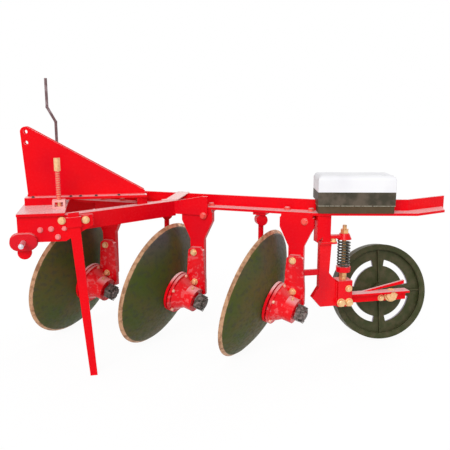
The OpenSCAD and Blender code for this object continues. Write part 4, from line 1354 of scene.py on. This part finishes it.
@dataclass
class WheelCarrier:
    """Hanger, sprung strut, arm and furrow wheel, in millimetres."""

    # X and Z of the housing's bolts, the arm's bolt from the axle, X and Y of the hanger's bolts
    strut_bolts: tuple[tuple[float, float], ...] = ((473.0, 283.0), (513.0, 283.0))
    strut_side_bolt: tuple[float, float] = (510.0, 352.0)
    arm_bolt: tuple[float, float] = (-52.0, -12.0)
    flange_bolts: tuple[tuple[float, float], ...] = ((428.0, -365.0), (428.0, -325.0))
    axle_gap: float = 2.0
    # Weld seams
    gusset_l: float = 27.0
    side_seam_y: float = 20.0
    side_seam_drop: float = 12.0
    # Spring and wheel
    spring_r: float = 28.0
    wire_r: float = 4.0
    turns: float = 9.0
    wheel_r: float = 250.0
    wheel_w: float = 66.0
    web_t: float = 14.0
    hub_r: float = 46.0
    rim_t: float = 26.0
    ribs: int = 4
    rib_w: float = 9.0
    rib_h: float = 12.0
    hub_sink: float = 4.0
    rim_sink: float = 3.0
    lip: float = 5.0
    lip_inset: float = 6.0
    lip_sides: int = 10
    lip_steps: int = 72

    def __post_init__(self) -> None:
        """Reads the wheel's axis from the frame."""
        joint = next(j for j in FRAME["joints"] if j["name"] == "wheel_spin")
        self.centre = Vector(joint["pos_m"])
        self.axis = Vector(joint["axis"]).normalized()
        self.place = aimed(self.centre, self.axis)

    def dress(self) -> None:
        """Gives the wheel its iron and the castings their paint."""
        iron = WheelIron("furrow_wheel_iron", self.centre, self.axis, self.wheel_r * MM)
        paint_node("furrow_wheel", iron.build())
        for node in ("strut_guide", "strut_collar", "wheel_bracket", "strut_housing"):
            paint_node(node, Finish.CASTING.material)

    def build(self, grower: Grower, main: FastenerSet, large: FastenerSet, axle: FastenerSet,
              seams: Seams) -> None:
        """Adds the carrier's spring, fasteners and wheel details.

        Args:
            grower: Holds the trees.
            main: Set for the plated bolts.
            large: Set for the large plated bolts.
            axle: Set for the axle's nut.
            seams: Collects the weld lines.
        """
        self._spring(grower)
        self._wheel(grower)
        low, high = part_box("strut_housing")
        large.add(NEAR, *(Vector((x * MM, low.y, z * MM)) for x, z in self.strut_bolts))
        main.add(NEAR, Vector((self.strut_side_bolt[0] * MM, low.y, self.strut_side_bolt[1] * MM)))
        eye = self.centre + (high.y - self.centre.y) / self.axis.y * self.axis
        axle.add(self.axis, eye + self.axle_gap * MM * self.axis)
        main.add(NEAR, Vector((eye.x + self.arm_bolt[0] * MM, high.y, eye.z + self.arm_bolt[1] * MM)))
        hanger_low, hanger_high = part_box("wheel_hanger")
        main.add(UP, *(Vector((x * MM, y * MM, hanger_low.z)) for x, y in self.flange_bolts))
        seams.path([Vector((x, y, hanger_high.z)) for x, y in (
            (hanger_low.x, hanger_low.y), (hanger_high.x, hanger_low.y), (hanger_high.x, hanger_high.y),
            (hanger_low.x + self.gusset_l * MM, hanger_high.y))])
        side = Vector((low.x, low.y + self.side_seam_y * MM, 0.0))
        seams.line(side + low.z * UP, side + (high.z - self.side_seam_drop * MM) * UP)

    def _spring(self, grower: Grower) -> None:
        """Winds the strut's spring in place of its plain solid.

        Args:
            grower: Holds the trees.
        """
        low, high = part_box("strut_spring")
        centre = (low + high) / 2.0
        base = Vector((centre.x, centre.y, low.z + self.wire_r * MM))
        inputs = {"Turns": self.turns, "Radius": self.spring_r * MM,
                  "Height": high.z - low.z - 2.0 * self.wire_r * MM, "Wire Radius": self.wire_r * MM,
                  "Finish": Finish.SPRING.material}
        piece = grower.run("wound_spring", grower.coil, bpy.data.meshes.new("spring_start"), inputs,
                           Matrix.Translation(base))
        settle(piece, "frame")
        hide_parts("strut_spring")

    def _wheel(self, grower: Grower) -> None:
        """Adds ribs on the web and a rolled lip on each side of the rim.

        Args:
            grower: Holds the trees.
        """
        iron = bpy.data.materials["furrow_wheel_iron"]
        inner = self.wheel_r - self.rim_t
        lift = Matrix.Translation(Vector((0.0, 0.0, (self.web_t + self.rib_h) / 2.0 * MM)))
        inputs = {"Count": self.ribs, "Inner Radius": (self.hub_r - self.hub_sink) * MM,
                  "Outer Radius": (inner + self.rim_sink) * MM, "Width": self.rib_w * MM,
                  "Height": self.rib_h * MM, "Finish": iron}
        ribs = grower.run("web_ribs", grower.rib, bpy.data.meshes.new("rib_start"), inputs,
                          self.place @ lift)
        settle(ribs, "wheel")
        turns = [2.0 * math.pi * k / self.lip_sides for k in range(self.lip_sides)]
        rings = []
        for side in (-1.0, 1.0):
            mid = side * (self.wheel_w / 2.0 - self.lip_inset)
            section = [((inner + self.lip * math.cos(turn)) * MM, (mid + self.lip * math.sin(turn)) * MM)
                       for turn in turns]
            rings.append(lathe("rim_lip", section, self.place, iron, self.lip_steps))
        settle(joined("rim_lips", rings), "wheel")


@dataclass
class BallastBox:
    """Weight box on the rear beam, in millimetres."""

    step_z: float = 761.06

    def dress(self) -> None:
        """Gives the box and its lid their paint."""
        paint_node("ballast_box", BoxPaint("ballast_paint", self.step_z * MM).build())
        paint_node("ballast_lid", Finish.LID.material)


@dataclass
class Studio:
    """Camera, lights, floor and pale surroundings."""

    eye: Vector = field(default_factory=lambda: mm(-638.0, -2904.0, 1191.0))
    turn: float = math.radians(12.0)
    dip: float = math.radians(11.0)
    focal_px: float = 582.0
    image_px: float = 450.0
    sensor: float = 36.0
    far_clip: float = 100.0
    world_level: float = 0.50
    key_level: float = 1.75
    key_way: Vector = field(default_factory=lambda: Vector((0.45, 0.95, -0.62)))
    fill_level: float = 0.8
    fill_way: Vector = field(default_factory=lambda: Vector((-0.80, -0.60, -0.45)))
    sun_angle: float = math.radians(35.0)
    floor_half: float = 40.0
    floor_color: Rgb = (0.92, 0.92, 0.92)
    floor_share: float = 0.9
    floor_glow: float = 1.03

    def build(self) -> None:
        """Sets everything up."""
        scene = bpy.context.scene
        scene.view_settings.view_transform = "Standard"
        lens = bpy.data.cameras.new("camera")
        lens.sensor_width = self.sensor
        lens.lens = self.focal_px / self.image_px * self.sensor
        lens.clip_end = self.far_clip
        camera = bpy.data.objects.new("camera", lens)
        camera.location = self.eye
        camera.rotation_euler = (math.pi / 2.0 - self.dip, 0.0, -self.turn)
        scene.collection.objects.link(camera)
        scene.camera = camera
        self._world(scene)
        self._sun(scene, "key", self.key_way, self.key_level)
        self._sun(scene, "fill", self.fill_way, self.fill_level)
        self._floor()

    @staticmethod
    def _seen(graph: Graph) -> Value:
        """Which rays see the surroundings as they look.

        Args:
            graph: The graph of the world or the floor.

        Returns:
            1 for those rays, 0 for rays that light the plough.
        """
        path = graph.node("ShaderNodeLightPath")
        camera, glossy, through = (Value(graph, path.outputs[name]) for name in (
            "Is Camera Ray", "Is Glossy Ray", "Is Transmission Ray"))
        return camera.top(glossy).top(through)

    def _world(self, scene: bpy.types.Scene) -> None:
        """Makes surroundings that look white and light the plough evenly.

        Args:
            scene: The scene that they go into.
        """
        world = bpy.data.worlds.new("studio")
        world.use_nodes = True
        world.node_tree.nodes.clear()
        graph = Graph(world.node_tree)
        strength = self.world_level + (1.0 - self.world_level) * self._seen(graph)
        light = graph.out("ShaderNodeBackground", "Background", None,
                          {"Color": WHITE, "Strength": strength})
        graph.node("ShaderNodeOutputWorld", None, {"Surface": light})
        scene.world = world

    def _sun(self, scene: bpy.types.Scene, name: str, way: Vector, level: float) -> None:
        """Hangs one broad light.

        Args:
            scene: The scene that it lights.
            name: Its name.
            way: The direction that it shines in.
            level: Its strength.
        """
        lamp = bpy.data.lights.new(name, "SUN")
        lamp.energy = level
        lamp.angle = self.sun_angle
        light = bpy.data.objects.new(name, lamp)
        light.rotation_euler = way.to_track_quat("-Z", "Y").to_euler()
        scene.collection.objects.link(light)

    def _floor(self) -> None:
        """Lays a pale floor that keeps a soft shadow."""
        size = self.floor_half
        corners = [(-size, -size, 0.0), (size, -size, 0.0), (size, size, 0.0), (-size, size, 0.0)]
        mesh = bpy.data.meshes.new("floor")
        mesh.from_pydata(corners, [], [(0, 1, 2, 3)])
        floor = link_mesh("floor", mesh)
        paint = bpy.data.materials.new("floor_paper")
        paint.use_nodes = True
        paint.node_tree.nodes.clear()
        graph = Graph(paint.node_tree)
        matt = graph.out("ShaderNodeBsdfDiffuse", "BSDF", None, {"Color": (*self.floor_color, 1.0)})
        plain = graph.out("ShaderNodeEmission", "Emission", None,
                          {"Color": WHITE, "Strength": self.floor_glow})
        paper = graph.out("ShaderNodeMixShader", "Shader", None,
                          {0: self._seen(graph) * self.floor_share, 1: matt, 2: plain})
        graph.node("ShaderNodeOutputMaterial", None, {"Surface": paper})
        mesh.materials.append(paint)


SLOT_FINISH = {
    "red_paint": Finish.PLATE, "blade_steel": Finish.DARK, "dark_cast": Finish.DARK,
    "plated_steel": Finish.PLATED, "bare_steel": Finish.BARE, "spring_steel": Finish.SPRING,
    "ballast_black": Finish.DARK, "ballast_white": Finish.LID,
}


def dress_nodes() -> None:
    """Gives every CAD node the finish of its slot."""
    for part in FRAME["record"]["subparts"]:
        paint_node(part["node"], SLOT_FINISH[part["material_slot"]].material)
    for side in ("left", "right"):
        paint_node("hitch_pin_" + side, Finish.ZINC.material)
        paint_node("hitch_collar_" + side, Finish.COLLAR.material)
    paint_node("crank_rod", Finish.ROD.material)
    paint_node("strut_rod", Finish.STRUT.material)
    # The bracket's red paint is lightened to pale pink by a painted highlight
    paint_node("levelling_bracket", Finish.PALE_HIGHLIT.material)


def report_size() -> None:
    """Brings the view layer up to date."""
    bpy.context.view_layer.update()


def main() -> None:
    """Dresses the nodes, adds the fitted pieces and sets up the studio."""
    logging.basicConfig(level=logging.INFO, format="%(name)s %(message)s")
    grower = Grower()
    seams = Seams()
    dress_nodes()
    # The small bolts' red paint is lightened to pale pink by a painted highlight
    small = FastenerSet("small_bolts", Hex.SMALL, "frame", "red_paint", Finish.HIGHLIT_RED)
    painted = FastenerSet("painted_bolts", Hex.MAIN, "frame", "red_paint", Finish.BOLT)
    main_bolts = FastenerSet("main_bolts", Hex.MAIN, "frame", "plated_steel", Finish.PLATED)
    large = FastenerSet("large_bolts", Hex.LARGE, "frame", "plated_steel", Finish.PLATED)
    axle = FastenerSet("axle_nut", Hex.AXLE, "frame", "plated_steel", Finish.PLATED)
    nuts = FastenerSet("beam_nuts", Hex.NUT, "frame", "red_paint", Finish.BOLT)
    ring = FastenerSet("housing_bolts", Hex.FLANGE, "frame", "plated_steel", Finish.RING)
    tiny = FastenerSet("foot_screws", Hex.TINY, "frame", "dark_cast", Finish.DARK)
    Headstock().build(grower, main_bolts, small, tiny, seams)
    BraceStrap().build()
    for number in (1, 2, 3):
        furrow = Furrow(number)
        furrow.dress()
        furrow.build(main_bolts, painted, nuts, ring, seams)
    carrier = WheelCarrier()
    carrier.dress()
    carrier.build(grower, main_bolts, large, axle, seams)
    BallastBox().dress()
    for fasteners in (tiny, small, main_bolts, painted, large, axle, nuts, ring):
        fasteners.build(grower)
    seams.build(grower)
    Studio().build()
    report_size()


if __name__ == "__main__":
    main()
